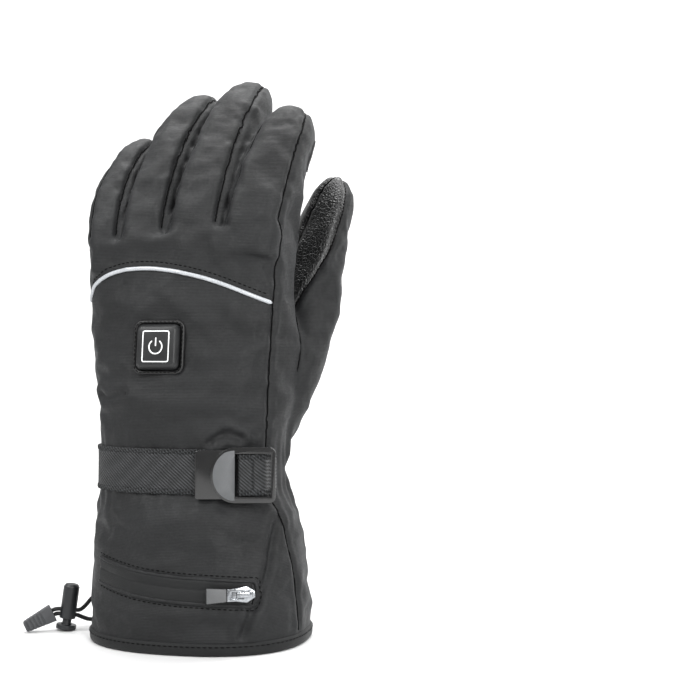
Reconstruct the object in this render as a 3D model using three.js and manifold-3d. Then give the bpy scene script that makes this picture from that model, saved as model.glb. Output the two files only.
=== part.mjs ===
// Padded winter glove with a heating button, for the left hand, standing on its hem.
// +Z is up, towards the fingertips. The back of the hand faces -Y and the thumb is on the +X side.
// The origin is on the floor, under the middle of the glove. All lengths are in millimetres.
import * as THREE from 'three';
import { mergeVertices } from 'three/addons/utils/BufferGeometryUtils.js';
import Module from 'manifold-3d';

const wasm = await Module();
wasm.setup();

// Driving dimensions of the fabric shell
const clearance = 0.3;        // gap between two pieces that touch
const fabricWall = 5;         // padded wall of cuff and hand
const fingerWall = 4.5;       // padded wall of fingers and thumb
const cuffWidth = 114;        // the hem, side to side
const cuffDepth = 92;         // the hem, back to palm
const bindingHeight = 6.5;
const bindingLift = 0.9;      // how far the binding stands out from the cuff
const wristWidth = 98;
const wristDepth = 67;
const wristHeight = 88;       // floor to the elastic, behind the middle of the strap
const handWidth = 111;        // across the knuckles
const handDepth = 58;         // through the palm
const knuckleDepth = 47;      // through the roots of the fingers
const knuckleHeight = 211;    // floor to the finger crotches, at the middle of the hand
const knuckleSlope = 6;       // degrees that the crotches rise towards the thumb
const sideLean = -6;          // how far the hand's axis lies to the little finger's side
const webThickness = 5;       // fabric floor between two fingers
const fingerLength = 98;      // the middle finger's, along its curve
const fingerDepth = 31;
const thumbWidth = 39;
const thumbDepth = 27;
const ruffleCount = 12;       // gathers across the palm side of the wrist
const ruffleDepth = 1.9;
const gatherReach = 27;       // how far the gathers run from the elastic, each way

// Driving dimensions of what is sewn or threaded on
const patchThickness = 1.2;   // leather of palm and thumb
const tapeThickness = 0.8;    // zip tape and fingertip patch
const pipingWidth = 2.4;
const pipingLift = 1.5;
const strapWidth = 22.5;
const strapRise = 1.2;        // the strap's middle over the elastic
const webbing = 1.6;          // thickness of the webbing
const tailWidth = 20.6;
const buttonSide = 23;
const buttonLift = 3.4;       // the pad's face over the bezel's
const bezelMargin = 2.2;
const bezelThickness = 1.8;
const buckleLength = 40;
const buckleHeight = 27.6;
const plateLength = 19;
const plateHeight = 24.4;
const plateThickness = 1.8;
const frameThickness = 2.6;
const frameWindow = 18;       // the frame's opening, along the strap
const railWidth = 3.2;        // the frame's bars above and below the opening
const barWidth = 2.2;         // the bar at its end
const tabReach = 12;          // how far the finger tab covers the plate
const zipHeight = 31;         // floor to the zip's teeth
const zipWindowHeight = 12;
const sliderWidth = 8;
const sliderLength = 11.5;
const sliderThickness = 2.6;
const bridgeWidth = 2.6;
const bridgeWall = 1;
const barSwing = 1.3;         // from the slider's face to the axis that the pull swings on
const pullLength = 18.5;
const pullBar = 1.2;          // thickness of the pull's metal link
const linkWidth = 6;
const gripWidth = 7.4;
const gripThickness = 2.6;
const pullSlope = 3;          // degrees that the pull leans to the cuff
const cordDiameter = 2.2;
const strandSpacing = 2.6;    // between the two strands' middles, in the lock and the tab
const slotClearance = 0.4;    // room round a strand
const lockDiameter = 8.4;
const lockWall = 1.1;
const lockHeight = 24;        // floor to the top of the cord lock
const lockSides = 16;
const lockLean = 8;           // degrees that the lock leans to the cuff
const lockTurn = 30;          // degrees that lock and tab are turned about the upright
const lockPlace = [-75.5, -6, 0.8];
const strandHeight = 7.6;     // lower strand's middle, along the lock's axis
const flangeDiameter = 10.6;
const flangeHeight = 2.4;
const plungerTravel = 3;
const tabPlace = [-81.3, -9.35, 9.74];
const tabDroop = 25;          // degrees that the tab's free end points down
const tabLength = 16;
const tabHeight = 9;
const tabThickness = 5;
const tabSocket = 7.3;        // how deep the strands sit in the tab
const ribDepth = 0.6;

const rad = THREE.MathUtils.degToRad;
const lerp = THREE.MathUtils.lerp;

// Sections of the cuff, from the hem up to the wrist. rise: share of wristHeight. flareWide and flareDeep: 1 has the
// hem's size and 0 the wrist's. lean: share of sideLean.
const CUFF_ROWS = [
  { rise: 0.00, flareWide: 1.00, flareDeep: 1.00, lean: 0.1 },
  { rise: 0.18, flareWide: 0.98, flareDeep: 0.94, lean: 0.1 },
  { rise: 0.38, flareWide: 0.86, flareDeep: 0.78, lean: 0.2 },
  { rise: 0.56, flareWide: 0.72, flareDeep: 0.58, lean: 0.3 },
  { rise: 0.70, flareWide: 0.52, flareDeep: 0.38, lean: 0.4 },
  { rise: 0.79, flareWide: 0.30, flareDeep: 0.18, lean: 0.6 },
  { rise: 0.85, flareWide: 0.03, flareDeep: 0.02, lean: 0.8 },
  { rise: 1.00, flareWide: 0.00, flareDeep: 0.00, lean: 0.8 },
];

// Sections of the hand, from the wrist up past the knuckles. rise: share of the way from wrist to knuckles.
// wide: 0 has the wrist's width and 1 the hand's. deep: share of handDepth. lean: share of sideLean.
// square: 2 is an ellipse, more is boxier.
const HAND_ROWS = [
  { rise: 0.00, wide: 0.00, deep: 1.155, lean: 0.8, square: 2.35 },
  { rise: 0.10, wide: 0.00, deep: 1.145, lean: 0.8, square: 2.35 },
  { rise: 0.16, wide: 0.14, deep: 1.160, lean: 0.8, square: 2.35 },
  { rise: 0.28, wide: 0.28, deep: 1.140, lean: 0.8, square: 2.35 },
  { rise: 0.45, wide: 0.50, deep: 1.080, lean: 0.9, square: 2.35 },
  { rise: 0.62, wide: 0.72, deep: 1.000, lean: 1.0, square: 2.45 },
  { rise: 0.80, wide: 0.92, deep: 0.910, lean: 1.0, square: 2.65 },
  { rise: 0.92, wide: 1.00, deep: 0.840, lean: 1.0, square: 2.95 },
  { rise: 1.20, wide: 1.00, deep: 0.790, lean: 1.0, square: 3.20 },
];

// Gathers at the elastic. away: share of gatherReach from the elastic. fold: share of ruffleDepth.
// pinch: share of ruffleDepth that the elastic draws the palm side in.
const GATHER_ROWS = [
  { away: -1.00, fold: 0.0, pinch: 0.0 },
  { away: -0.62, fold: 0.5, pinch: 0.0 },
  { away: -0.26, fold: 1.0, pinch: 0.3 },
  { away: 0.00, fold: 0.2, pinch: 1.0 },
  { away: 0.26, fold: 1.0, pinch: 0.3 },
  { away: 0.55, fold: 0.5, pinch: 0.0 },
  { away: 0.90, fold: 0.0, pinch: 0.0 },
];

// Fingers, from the little one. from, to: the root's edges, as shares of handWidth from the little finger's side.
// length: share of fingerLength. splay and curl in degrees, at root and tip: towards the thumb, and to the palm.
const FINGERS = [
  { name: 'little_finger', from: 0.025, to: 0.200, length: 0.75, splay: [-6, 16], curl: [6, 66], depth: 0.90 },
  { name: 'ring_finger', from: 0.200, to: 0.432, length: 1.03, splay: [0, 16], curl: [8, 58], depth: 0.96 },
  { name: 'middle_finger', from: 0.432, to: 0.712, length: 1.03, splay: [5, 11], curl: [8, 54], depth: 1.03 },
  { name: 'index_finger', from: 0.712, to: 0.995, length: 0.71, splay: [6, 12], curl: [4, 44], depth: 1.03 },
];

// Sections of a finger. along: share of its length. wide: share of its root's width. root: 1 has the depth of the
// knuckles and 0 that of the finger. deep: share of that depth. square: 2 is an ellipse, more is boxier.
const FINGER_ROWS = [
  { along: -0.30, wide: 1.00, root: 1.00, deep: 1.00, square: 3.6 },
  { along: 0.00, wide: 1.00, root: 1.00, deep: 1.00, square: 3.6 },
  { along: 0.14, wide: 1.00, root: 0.62, deep: 1.00, square: 3.2 },
  { along: 0.32, wide: 1.02, root: 0.24, deep: 1.00, square: 2.8 },
  { along: 0.52, wide: 1.02, root: 0.00, deep: 1.00, square: 2.5 },
  { along: 0.72, wide: 0.98, root: 0.00, deep: 0.94, square: 2.3 },
  { along: 0.86, wide: 0.84, root: 0.00, deep: 0.82, square: 2.1 },
  { along: 0.94, wide: 0.66, root: 0.00, deep: 0.64, square: 2.0 },
  { along: 0.985, wide: 0.40, root: 0.00, deep: 0.38, square: 2.0 },
  { along: 1.00, wide: 0.12, root: 0.00, deep: 0.12, square: 2.0 },
];

// Points of the thumb's middle line. side: share of handWidth from the hand's axis. forward: share of handDepth
// towards the palm. rise: share of knuckleHeight. wide, deep: shares of thumbWidth and thumbDepth.
// seam: the angle round the thumb, in degrees, at which its leather ends.
const THUMB_ROWS = [
  { side: 0.250, forward: 0.12, rise: 0.430, wide: 0.55, deep: 0.60 },
  { side: 0.300, forward: 0.21, rise: 0.490, wide: 0.78, deep: 0.85 },
  { side: 0.365, forward: 0.32, rise: 0.575, wide: 0.94, deep: 1.04 },
  { side: 0.425, forward: 0.44, rise: 0.690, wide: 1.02, deep: 1.08 },
  { side: 0.478, forward: 0.57, rise: 0.820, wide: 1.00, deep: 1.02, seam: -72 },
  { side: 0.522, forward: 0.70, rise: 0.950, wide: 0.96, deep: 0.90, seam: -36 },
  { side: 0.560, forward: 0.81, rise: 1.060, wide: 0.82, deep: 0.76, seam: -22 },
  { side: 0.580, forward: 0.87, rise: 1.120, wide: 0.62, deep: 0.58, seam: -18 },
  { side: 0.592, forward: 0.90, rise: 1.152, wide: 0.36, deep: 0.34, seam: -16 },
  { side: 0.598, forward: 0.91, rise: 1.164, wide: 0.10, deep: 0.10 },
];
const thumbTurn = -30;        // degrees that the thumb's broad side is turned from the hand's

// A closed solid through a stack of rings with as many points each, with a fan over either end.
function loft(rings) {
  const around = rings[0].length;
  const points = rings.flat();
  const faces = [];
  for (let row = 0; row + 1 < rings.length; row++) {
    for (let i = 0; i < around; i++) {
      const next = (i + 1) % around;
      const a = row * around + i;
      const b = row * around + next;
      faces.push(a, b, b + around, a, b + around, a + around);
    }
  }
  const middle = (ring) => ring.reduce((sum, p) => sum.add(p), new THREE.Vector3()).divideScalar(around);
  points.push(middle(rings[0]), middle(rings.at(-1)));
  const last = (rings.length - 1) * around;
  for (let i = 0; i < around; i++) {
    const next = (i + 1) % around;
    faces.push(points.length - 2, next, i);
    faces.push(points.length - 1, last + i, last + next);
  }
  return facingOut(new THREE.BufferGeometry().setFromPoints(points).setIndex(faces));
}

// A closed sheet between an outer and an inner grid of points, with as many rows and columns each.
function sheet(outer, inner) {
  const [rows, columns] = [outer.length, outer[0].length];
  const points = [...outer.flat(), ...inner.flat()];
  const at = (side, row, column) => side * rows * columns + row * columns + column;
  const faces = [];
  const quad = (a, b, c, d) => faces.push(a, b, c, a, c, d);
  for (let r = 0; r + 1 < rows; r++) {
    for (let c = 0; c + 1 < columns; c++) {
      quad(at(0, r, c), at(0, r, c + 1), at(0, r + 1, c + 1), at(0, r + 1, c));
      quad(at(1, r, c), at(1, r + 1, c), at(1, r + 1, c + 1), at(1, r, c + 1));
    }
    quad(at(0, r, 0), at(0, r + 1, 0), at(1, r + 1, 0), at(1, r, 0));
    quad(at(0, r + 1, columns - 1), at(0, r, columns - 1), at(1, r, columns - 1), at(1, r + 1, columns - 1));
  }
  for (let c = 0; c + 1 < columns; c++) {
    quad(at(0, 0, c + 1), at(0, 0, c), at(1, 0, c), at(1, 0, c + 1));
    quad(at(0, rows - 1, c), at(0, rows - 1, c + 1), at(1, rows - 1, c + 1), at(1, rows - 1, c));
  }
  return facingOut(new THREE.BufferGeometry().setFromPoints(points).setIndex(faces));
}

// The same geometry with its faces turned to point out, if they point in.
function facingOut(geometry) {
  const place = geometry.attributes.position;
  const corner = (i) => new THREE.Vector3().fromBufferAttribute(place, geometry.index.getX(i));
  let volume = 0;
  for (let i = 0; i < geometry.index.count; i += 3) {
    volume += corner(i).dot(corner(i + 1).cross(corner(i + 2)));
  }
  if (volume < 0) geometry.setIndex([...geometry.index.array].reverse());
  return geometry;
}

// A three.js geometry as a solid that can be joined and cut.
function solid(geometry, matrix = new THREE.Matrix4()) {
  const bare = geometry.clone().applyMatrix4(matrix);
  for (const name of Object.keys(bare.attributes)) {
    if (name !== 'position') bare.deleteAttribute(name);
  }
  const merged = mergeVertices(bare, 1e-4);
  return new wasm.Manifold(new wasm.Mesh({
    numProp: 3,
    vertProperties: new Float32Array(merged.attributes.position.array),
    triVerts: new Uint32Array(merged.index.array),
  }));
}

// A joined or cut solid as a three.js geometry.
function geometryOf(cut) {
  const mesh = cut.getMesh();
  const positions = new Float32Array(mesh.numVert * 3);
  for (let i = 0; i < mesh.numVert; i++) {
    positions.set(mesh.vertProperties.subarray(i * mesh.numProp, i * mesh.numProp + 3), i * 3);
  }
  const geometry = new THREE.BufferGeometry();
  geometry.setAttribute('position', new THREE.BufferAttribute(positions, 3));
  geometry.setIndex(new THREE.BufferAttribute(new Uint32Array(mesh.triVerts), 1));
  geometry.computeVertexNormals();
  return geometry;
}

// The largest of the bodies that a cut leaves, without its offcuts.
function largest(cut) {
  return cut.decompose().reduce((best, body) => (body.volume() > best.volume() ? body : best));
}

// A shape of (side, height) points pushed through from one depth to another, along Y.
function prism(shape, fromDepth, toDepth) {
  const flat = new THREE.ExtrudeGeometry(shape, { depth: toDepth - fromDepth, bevelEnabled: false, curveSegments: 6 });
  return solid(flat, new THREE.Matrix4().makeTranslation(0, toDepth, 0)
    .multiply(new THREE.Matrix4().makeRotationX(Math.PI / 2)));
}

// A rectangle with rounded corners, around a middle point.
function roundedRectangle(width, height, radius, x = 0, y = 0) {
  const shape = new THREE.Shape();
  const [w, h] = [width / 2, height / 2];
  shape.moveTo(x - w + radius, y - h);
  shape.lineTo(x + w - radius, y - h);
  shape.absarc(x + w - radius, y - h + radius, radius, -Math.PI / 2, 0, false);
  shape.absarc(x + w - radius, y + h - radius, radius, 0, Math.PI / 2, false);
  shape.absarc(x - w + radius, y + h - radius, radius, Math.PI / 2, Math.PI, false);
  shape.absarc(x - w + radius, y - h + radius, radius, Math.PI, 1.5 * Math.PI, false);
  return shape;
}

// A box between two corners, as a solid.
function block(from, to) {
  const size = to.map((value, i) => value - from[i]);
  const middle = to.map((value, i) => (value + from[i]) / 2);
  return solid(new THREE.BoxGeometry(...size), new THREE.Matrix4().makeTranslation(...middle));
}

// A value of a table between its rows, in a straight line. The rows rise in rowKey.
function between(rows, rowKey, at, key) {
  const above = rows.findIndex((row) => row[rowKey] >= at);
  if (above < 0) return rows.at(-1)[key];
  if (above === 0) return rows[0][key];
  const [low, high] = [rows[above - 1], rows[above]];
  return lerp(low[key], high[key], (at - low[rowKey]) / (high[rowKey] - low[rowKey]));
}

// A rounded section: the point at an angle from +X, on a curve between an ellipse and a box.
const rounded = (value, square) => Math.sign(value) * Math.abs(value) ** (2 / square);
const handReach = knuckleHeight - wristHeight;

// Half sizes and middle of the fabric body's section at a height.
function bodySection(z) {
  if (z <= wristHeight) {
    const at = z / wristHeight;
    return {
      half: lerp(wristWidth, cuffWidth, between(CUFF_ROWS, 'rise', at, 'flareWide')) / 2,
      deep: lerp(wristDepth, cuffDepth, between(CUFF_ROWS, 'rise', at, 'flareDeep')) / 2,
      middle: sideLean * between(CUFF_ROWS, 'rise', at, 'lean'),
      square: HAND_ROWS[0].square,
    };
  }
  const at = (z - wristHeight) / handReach;
  const blend = Math.min(1, at / HAND_ROWS[1].rise);
  return {
    half: lerp(wristWidth, handWidth, between(HAND_ROWS, 'rise', at, 'wide')) / 2,
    deep: lerp(wristDepth, handDepth * between(HAND_ROWS, 'rise', at, 'deep'), blend) / 2,
    middle: sideLean * between(HAND_ROWS, 'rise', at, 'lean'),
    square: between(HAND_ROWS, 'rise', at, 'square'),
  };
}

// The point of the body's outside at a height and angle, moved out by grow. folded adds the gathers of the palm side.
function bodyPoint(z, angle, grow = 0, folded = true) {
  const section = bodySection(z);
  const [c, s] = [Math.cos(angle), Math.sin(angle)];
  let fold = 0;
  if (folded && s > 0) {
    const away = (z - wristHeight) / gatherReach;
    const window = Math.min(1, 3 * s * s);
    const wave = Math.cos(2 * ruffleCount * angle) * between(GATHER_ROWS, 'away', away, 'fold');
    fold = ruffleDepth * window * (wave - between(GATHER_ROWS, 'away', away, 'pinch'));
  }
  const out = grow + fold;
  return new THREE.Vector3(
    section.middle + (section.half + out) * rounded(c, section.square),
    (section.deep + out) * rounded(s, section.square),
    z,
  );
}

// The angle and the point on the back of the body, at a place from side to side and a height.
function backAngle(x, z) {
  const { half, middle, square } = bodySection(z);
  const share = THREE.MathUtils.clamp((x - middle) / half, -0.999, 0.999);
  return -Math.acos(rounded(share, 4 / square));
}
const backPoint = (x, z, grow = 0) => bodyPoint(z, backAngle(x, z), grow, false);

// A frame that lies on the back of the body: +X runs along the section and -Y points straight away from the fabric.
const probe = 1;
function lieOnBack(x, z, lift) {
  const across = backPoint(x + probe, z).sub(backPoint(x - probe, z)).normalize();
  const up = backPoint(x, z + probe).sub(backPoint(x, z - probe)).normalize();
  const inward = up.clone().cross(across).normalize();
  const frame = new THREE.Group();
  frame.position.copy(backPoint(x, z)).addScaledVector(inward, -lift);
  frame.quaternion.setFromRotationMatrix(new THREE.Matrix4().makeBasis(across, inward, across.clone().cross(inward)));
  glove.add(frame);
  frame.updateMatrixWorld(true);
  return frame;
}

// Angles of a body ring: close together over the palm side, where the gathers are, and wider over the back.
const palmSteps = 2 * ruffleCount;
const backSteps = 15;
const FINE_ANGLES = [
  ...Array.from({ length: palmSteps }, (_, i) => (i * Math.PI) / palmSteps),
  ...Array.from({ length: backSteps }, (_, i) => Math.PI + (i * Math.PI) / backSteps),
];
const INNER_ANGLES = FINE_ANGLES.filter((_, i) => i >= palmSteps || i % 2 === 0);

// Heights of a body loft: every row of the tables between two heights, and the two themselves.
function bodyHeights(low, high, gathers = true) {
  const heights = [
    ...CUFF_ROWS.map((row) => row.rise * wristHeight),
    ...HAND_ROWS.map((row) => wristHeight + row.rise * handReach),
    ...(gathers ? GATHER_ROWS.map((row) => wristHeight + row.away * gatherReach) : []),
  ];
  const inside = heights.filter((z) => z > low + 1 && z < high - 1).sort((a, b) => a - b);
  return [low, ...inside.filter((z, i) => i === 0 || z - inside[i - 1] > 1), high];
}

function bodyLoft(low, high, { grow = 0, angles = FINE_ANGLES, gathers = true, folded = true } = {}) {
  const rings = bodyHeights(low, high, gathers).map((z) => angles.map((a) => bodyPoint(z, a, grow, folded)));
  return solid(loft(rings));
}

// Everything above the slanted plane of the finger crotches, moved up by lift.
const endless = 400;
const bodyTop = knuckleHeight + 0.2 * handReach;
function aboveKnuckles(lift) {
  const matrix = new THREE.Matrix4().makeTranslation(0, 0, knuckleHeight + lift)
    .multiply(new THREE.Matrix4().makeRotationY(rad(-knuckleSlope)))
    .multiply(new THREE.Matrix4().makeTranslation(0, 0, endless / 2));
  return solid(new THREE.BoxGeometry(endless, endless, endless), matrix);
}
const knuckleAt = (x) => knuckleHeight + Math.tan(rad(knuckleSlope)) * x;

// Rings of a tube of rounded section: a frame holds its middle, side vector, depth vector and half sizes.
function tubeRings(frames, around, grow) {
  return frames.map(({ at, side, depth, wide, deep, square }) => Array.from({ length: around }, (_, i) => {
    const angle = (2 * Math.PI * i) / around;
    return at.clone()
      .addScaledVector(side, Math.max(0.4, wide + grow) * rounded(Math.cos(angle), square))
      .addScaledVector(depth, Math.max(0.4, deep + grow) * rounded(Math.sin(angle), square));
  }));
}

// Frames along a finger, from below its root to its tip. Growing or shrinking it moves the tip too.
const pathSteps = 24;
function fingerFrames(finger, grow) {
  const left = sideLean - handWidth / 2;
  const rootX = left + (handWidth * (finger.from + finger.to)) / 2;
  const rootWide = (handWidth * (finger.to - finger.from) - clearance) / 2;
  const length = fingerLength * finger.length;
  const direction = (share) => {
    const splay = rad(lerp(...finger.splay, share));
    const curl = rad(lerp(...finger.curl, share));
    return {
      along: new THREE.Vector3(Math.sin(splay), Math.cos(splay) * Math.sin(curl), Math.cos(splay) * Math.cos(curl)),
      side: new THREE.Vector3(Math.cos(splay), -Math.sin(splay) * Math.sin(curl), -Math.sin(splay) * Math.cos(curl)),
      depth: new THREE.Vector3(0, Math.cos(curl), -Math.sin(curl)),
    };
  };
  const placeAt = (share) => {
    const place = new THREE.Vector3(rootX, 0, knuckleAt(rootX));
    if (share <= 0) return place.addScaledVector(direction(0).along, share * length);
    for (let i = 0; i < pathSteps; i++) {
      place.addScaledVector(direction(((i + 0.5) / pathSteps) * share).along, (share * length) / pathSteps);
    }
    return place;
  };
  return FINGER_ROWS.map((row) => {
    const share = row.along > 0 ? row.along * (1 + grow / length) : row.along;
    const { side, depth } = direction(THREE.MathUtils.clamp(share, 0, 1));
    return {
      at: placeAt(share),
      side,
      depth,
      wide: rootWide * row.wide,
      deep: (row.deep * lerp(fingerDepth * finger.depth, knuckleDepth * Math.min(1, finger.depth), row.root)) / 2,
      square: row.square,
    };
  });
}
const fingerAround = 16;
const fingerLoft = (finger, grow) => solid(loft(tubeRings(fingerFrames(finger, grow), fingerAround, grow)));

// Frames along the thumb, the same way.
function thumbFrames(grow) {
  const places = THUMB_ROWS.map((row) => new THREE.Vector3(
    sideLean + row.side * handWidth,
    row.forward * handDepth,
    row.rise * knuckleHeight,
  ));
  const turned = new THREE.Vector3(Math.cos(rad(thumbTurn)), Math.sin(rad(thumbTurn)), 0);
  return THUMB_ROWS.map((row, i) => {
    const along = places[Math.min(i + 1, places.length - 1)].clone().sub(places[Math.max(i - 1, 0)]).normalize();
    const depth = along.clone().cross(turned).normalize();
    const ends = Math.max(0, (i - 6) / (THUMB_ROWS.length - 7));
    return {
      at: places[i].clone().addScaledVector(along, grow * ends),
      side: depth.clone().cross(along),
      depth,
      wide: (thumbWidth * row.wide) / 2,
      deep: (thumbDepth * row.deep) / 2,
      square: 2.2,
      seam: THUMB_ROWS[i].seam,
    };
  });
}
const thumbAround = 18;
const thumbLoft = (grow) => solid(loft(tubeRings(thumbFrames(grow), thumbAround, grow)));

const glove = new THREE.Group();
const materials = {
  shell: new THREE.MeshStandardMaterial({ color: 0x2b2c2d, roughness: 0.75 }),
  leather: new THREE.MeshStandardMaterial({ color: 0x1d1e1f, roughness: 0.45 }),
  binding: new THREE.MeshStandardMaterial({ color: 0x1f2021, roughness: 0.7 }),
  reflective: new THREE.MeshStandardMaterial({ color: 0xd9dadb, roughness: 0.4 }),
  webbing: new THREE.MeshStandardMaterial({ color: 0x191a1b, roughness: 0.85 }),
  plastic: new THREE.MeshStandardMaterial({ color: 0x232425, roughness: 0.35 }),
  rubber: new THREE.MeshStandardMaterial({ color: 0x1a1a1b, roughness: 0.6 }),
  metal: new THREE.MeshStandardMaterial({ color: 0xc9c9c6, roughness: 0.3, metalness: 1 }),
};
function add(name, shape, material, parent = glove) {
  const geometry = shape.isBufferGeometry ? shape : geometryOf(shape);
  const mesh = new THREE.Mesh(geometry, materials[material]);
  mesh.name = name;
  parent.add(mesh);
  return mesh;
}

// Fabric shell: cuff, hand, fingers and thumb, each hollow
const bindingTop = bindingHeight + clearance;
const bodyInner = bodyLoft(-10, bodyTop, { grow: -fabricWall, angles: INNER_ANGLES, gathers: false, folded: false })
  .subtract(aboveKnuckles(-webThickness));
const thumbInner = thumbLoft(-fingerWall);
const thumbOuter = thumbLoft(0);
const handClear = bodyLoft(wristHeight - 30, bodyTop, { grow: clearance });

add('gauntlet_cuff', bodyLoft(bindingTop, wristHeight - clearance).subtract(bodyInner), 'shell');
let hand = bodyLoft(wristHeight, bodyTop).subtract(aboveKnuckles(0)).subtract(bodyInner).subtract(thumbInner);
const handInside = bodyLoft(wristHeight, bodyTop, { grow: -fabricWall, angles: INNER_ANGLES, folded: false });
for (const finger of FINGERS) hand = hand.subtract(fingerLoft(finger, -fingerWall).intersect(handInside));
add('hand_shell', largest(hand), 'shell');

const belowKnuckles = solid(new THREE.BoxGeometry(endless, endless, endless), new THREE.Matrix4()
  .makeTranslation(0, 0, knuckleHeight + clearance)
  .multiply(new THREE.Matrix4().makeRotationY(rad(-knuckleSlope)))
  .multiply(new THREE.Matrix4().makeTranslation(0, 0, -endless / 2)));
FINGERS.forEach((finger, i) => {
  let shape = fingerLoft(finger, 0).subtract(belowKnuckles).subtract(fingerLoft(finger, -fingerWall));
  if (i > 0) shape = shape.subtract(fingerLoft(FINGERS[i - 1], clearance));
  add(finger.name, largest(shape), 'shell');
});
const belowWrist = solid(new THREE.BoxGeometry(endless, endless, endless),
  new THREE.Matrix4().makeTranslation(0, 0, wristHeight - endless / 2));
add('thumb', largest(thumbOuter.subtract(handClear).subtract(thumbInner).subtract(belowWrist)), 'shell');

// Hem binding: the fabric rolled over the cuff's edge
const roll = 1;
const bindingRings = [[0, -roll], [roll, 0], [bindingHeight - roll, 0], [bindingHeight, -roll]];
const bindingOuter = bindingRings.map(([z, inset]) => (
  INNER_ANGLES.map((angle) => bodyPoint(z, angle, bindingLift + inset, false))
));
add('hem_binding', solid(loft(bindingOuter)).subtract(bodyInner), 'binding');

// Leather palm: a skin over the palm side, inside a sewn outline.
// side: share of half the hand's width from its axis. rise: share of knuckleHeight.
const PALM_OUTLINE = [
  { side: -1.10, rise: 0.880 },
  { side: -0.69, rise: 0.900 },
  { side: -0.34, rise: 0.920 },
  { side: -0.03, rise: 0.942 },
  { side: 0.30, rise: 0.950 },
  { side: 0.66, rise: 0.953 },
  { side: 0.74, rise: 0.924 },
  { side: 0.58, rise: 0.872 },
  { side: 0.34, rise: 0.768 },
  { side: 0.14, rise: 0.678 },
  { side: 0.09, rise: 0.530 },
  { side: -1.10, rise: 0.550 },
];
const palmShape = new THREE.Shape(PALM_OUTLINE.map((row) => (
  new THREE.Vector2(sideLean + (row.side * handWidth) / 2, row.rise * knuckleHeight)
)));
const palmTurn = 3;           // how far behind the hand's side the leather ends
const leatherLayer = bodyLoft(wristHeight, bodyTop, { grow: clearance + patchThickness }).subtract(handClear);
add('palm_patch', leatherLayer
  .intersect(prism(palmShape, palmTurn, handDepth))
  .subtract(thumbLoft(clearance + patchThickness)), 'leather');

// A patch over part of a tube, from one angle round it to another, in degrees, or to the seam of each section.
function tubePatch(frames, from, to, steps, outside, inside) {
  const layer = (grow) => frames.map(({ at, side, depth, wide, deep, square, seam = to }) => (
    Array.from({ length: steps + 1 }, (_, i) => {
      const angle = rad(lerp(from, seam, i / steps));
      return at.clone()
        .addScaledVector(side, (wide + grow) * rounded(Math.cos(angle), square))
        .addScaledVector(depth, (deep + grow) * rounded(Math.sin(angle), square));
    })));
  return solid(sheet(layer(outside), layer(inside)));
}

// Leather on the thumb, and the patch on the index fingertip that works a touch screen
const thumbLeather = thumbFrames(0).filter((frame) => frame.seam);
const thumbPatchFrom = -160;
const wedgeReach = 3 * patchThickness;
add('thumb_patch', largest(thumbLoft(clearance + patchThickness).subtract(thumbLoft(clearance))
  .intersect(tubePatch(thumbLeather, thumbPatchFrom, 0, 5, wedgeReach, -wedgeReach))
  .subtract(handClear).subtract(fingerLoft(FINGERS[3], clearance))), 'leather');
const touchPatchRows = [4, 9];
const fingerStep = 360 / fingerAround;
add('touch_patch', tubePatch(fingerFrames(FINGERS[3], 0).slice(...touchPatchRows), fingerStep, 7 * fingerStep, 6,
  clearance + tapeThickness, clearance), 'shell');

// Reflective piping, sewn into the seam across the back of the hand
const PIPING_LINE = [
  { side: -0.920, rise: 0.838 },
  { side: -0.835, rise: 0.872 },
  { side: -0.637, rise: 0.898 },
  { side: -0.380, rise: 0.908 },
  { side: -0.140, rise: 0.906 },
  { side: 0.168, rise: 0.891 },
  { side: 0.462, rise: 0.868 },
  { side: 0.874, rise: 0.824 },
];
const pipingCurve = new THREE.SplineCurve(PIPING_LINE.map((row) => (
  new THREE.Vector2(sideLean + (row.side * handWidth) / 2, row.rise * knuckleHeight)
)));
const pipingSteps = 14;
const pipingEdge = (offset) => Array.from({ length: pipingSteps + 1 }, (_, i) => {
  const tangent = pipingCurve.getTangent(i / pipingSteps);
  return pipingCurve.getPoint(i / pipingSteps).add(new THREE.Vector2(-tangent.y, tangent.x).multiplyScalar(offset));
});
const pipingShape = new THREE.Shape([...pipingEdge(pipingWidth / 2), ...pipingEdge(-pipingWidth / 2).reverse()]);
add('reflective_piping', bodyLoft(wristHeight, bodyTop, { grow: pipingLift, angles: INNER_ANGLES, folded: false })
  .subtract(handClear).intersect(prism(pipingShape, -handDepth, 0)), 'reflective');

// Heating button: a raised pad in a sewn bezel
const buttonFrame = lieOnBack(sideLean - 0.11 * handWidth / 2, 0.717 * knuckleHeight, 0);
const underFabric = buttonFrame.matrixWorld.clone().invert();
const bezelSide = buttonSide + 2 * bezelMargin;
const bezelShape = roundedRectangle(bezelSide, bezelSide, 4);
const bezelHole = roundedRectangle(buttonSide + 2 * clearance, buttonSide + 2 * clearance, 3 + clearance);
const buttonRoot = 6;
const fabricAtButton = handClear.transform(underFabric.elements);
add('button_bezel', prism(bezelShape, -bezelThickness, buttonRoot)
  .subtract(prism(bezelHole, -2 * bezelThickness, 2 * buttonRoot))
  .subtract(fabricAtButton), 'plastic', buttonFrame);
const BUTTON_RINGS = [
  { lift: -buttonRoot, side: buttonSide },
  { lift: bezelThickness + 0.25 * buttonLift, side: buttonSide },
  { lift: bezelThickness + 0.8 * buttonLift, side: 0.92 * buttonSide },
  { lift: bezelThickness + buttonLift, side: 0.84 * buttonSide },
];
const padRings = BUTTON_RINGS.map(({ lift, side }) => roundedRectangle(side, side, 3).getPoints(4)
  .slice(0, -1).map((point) => new THREE.Vector3(point.x, -lift, point.y)));
add('power_button', solid(loft(padRings)).subtract(fabricAtButton), 'rubber', buttonFrame);

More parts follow.
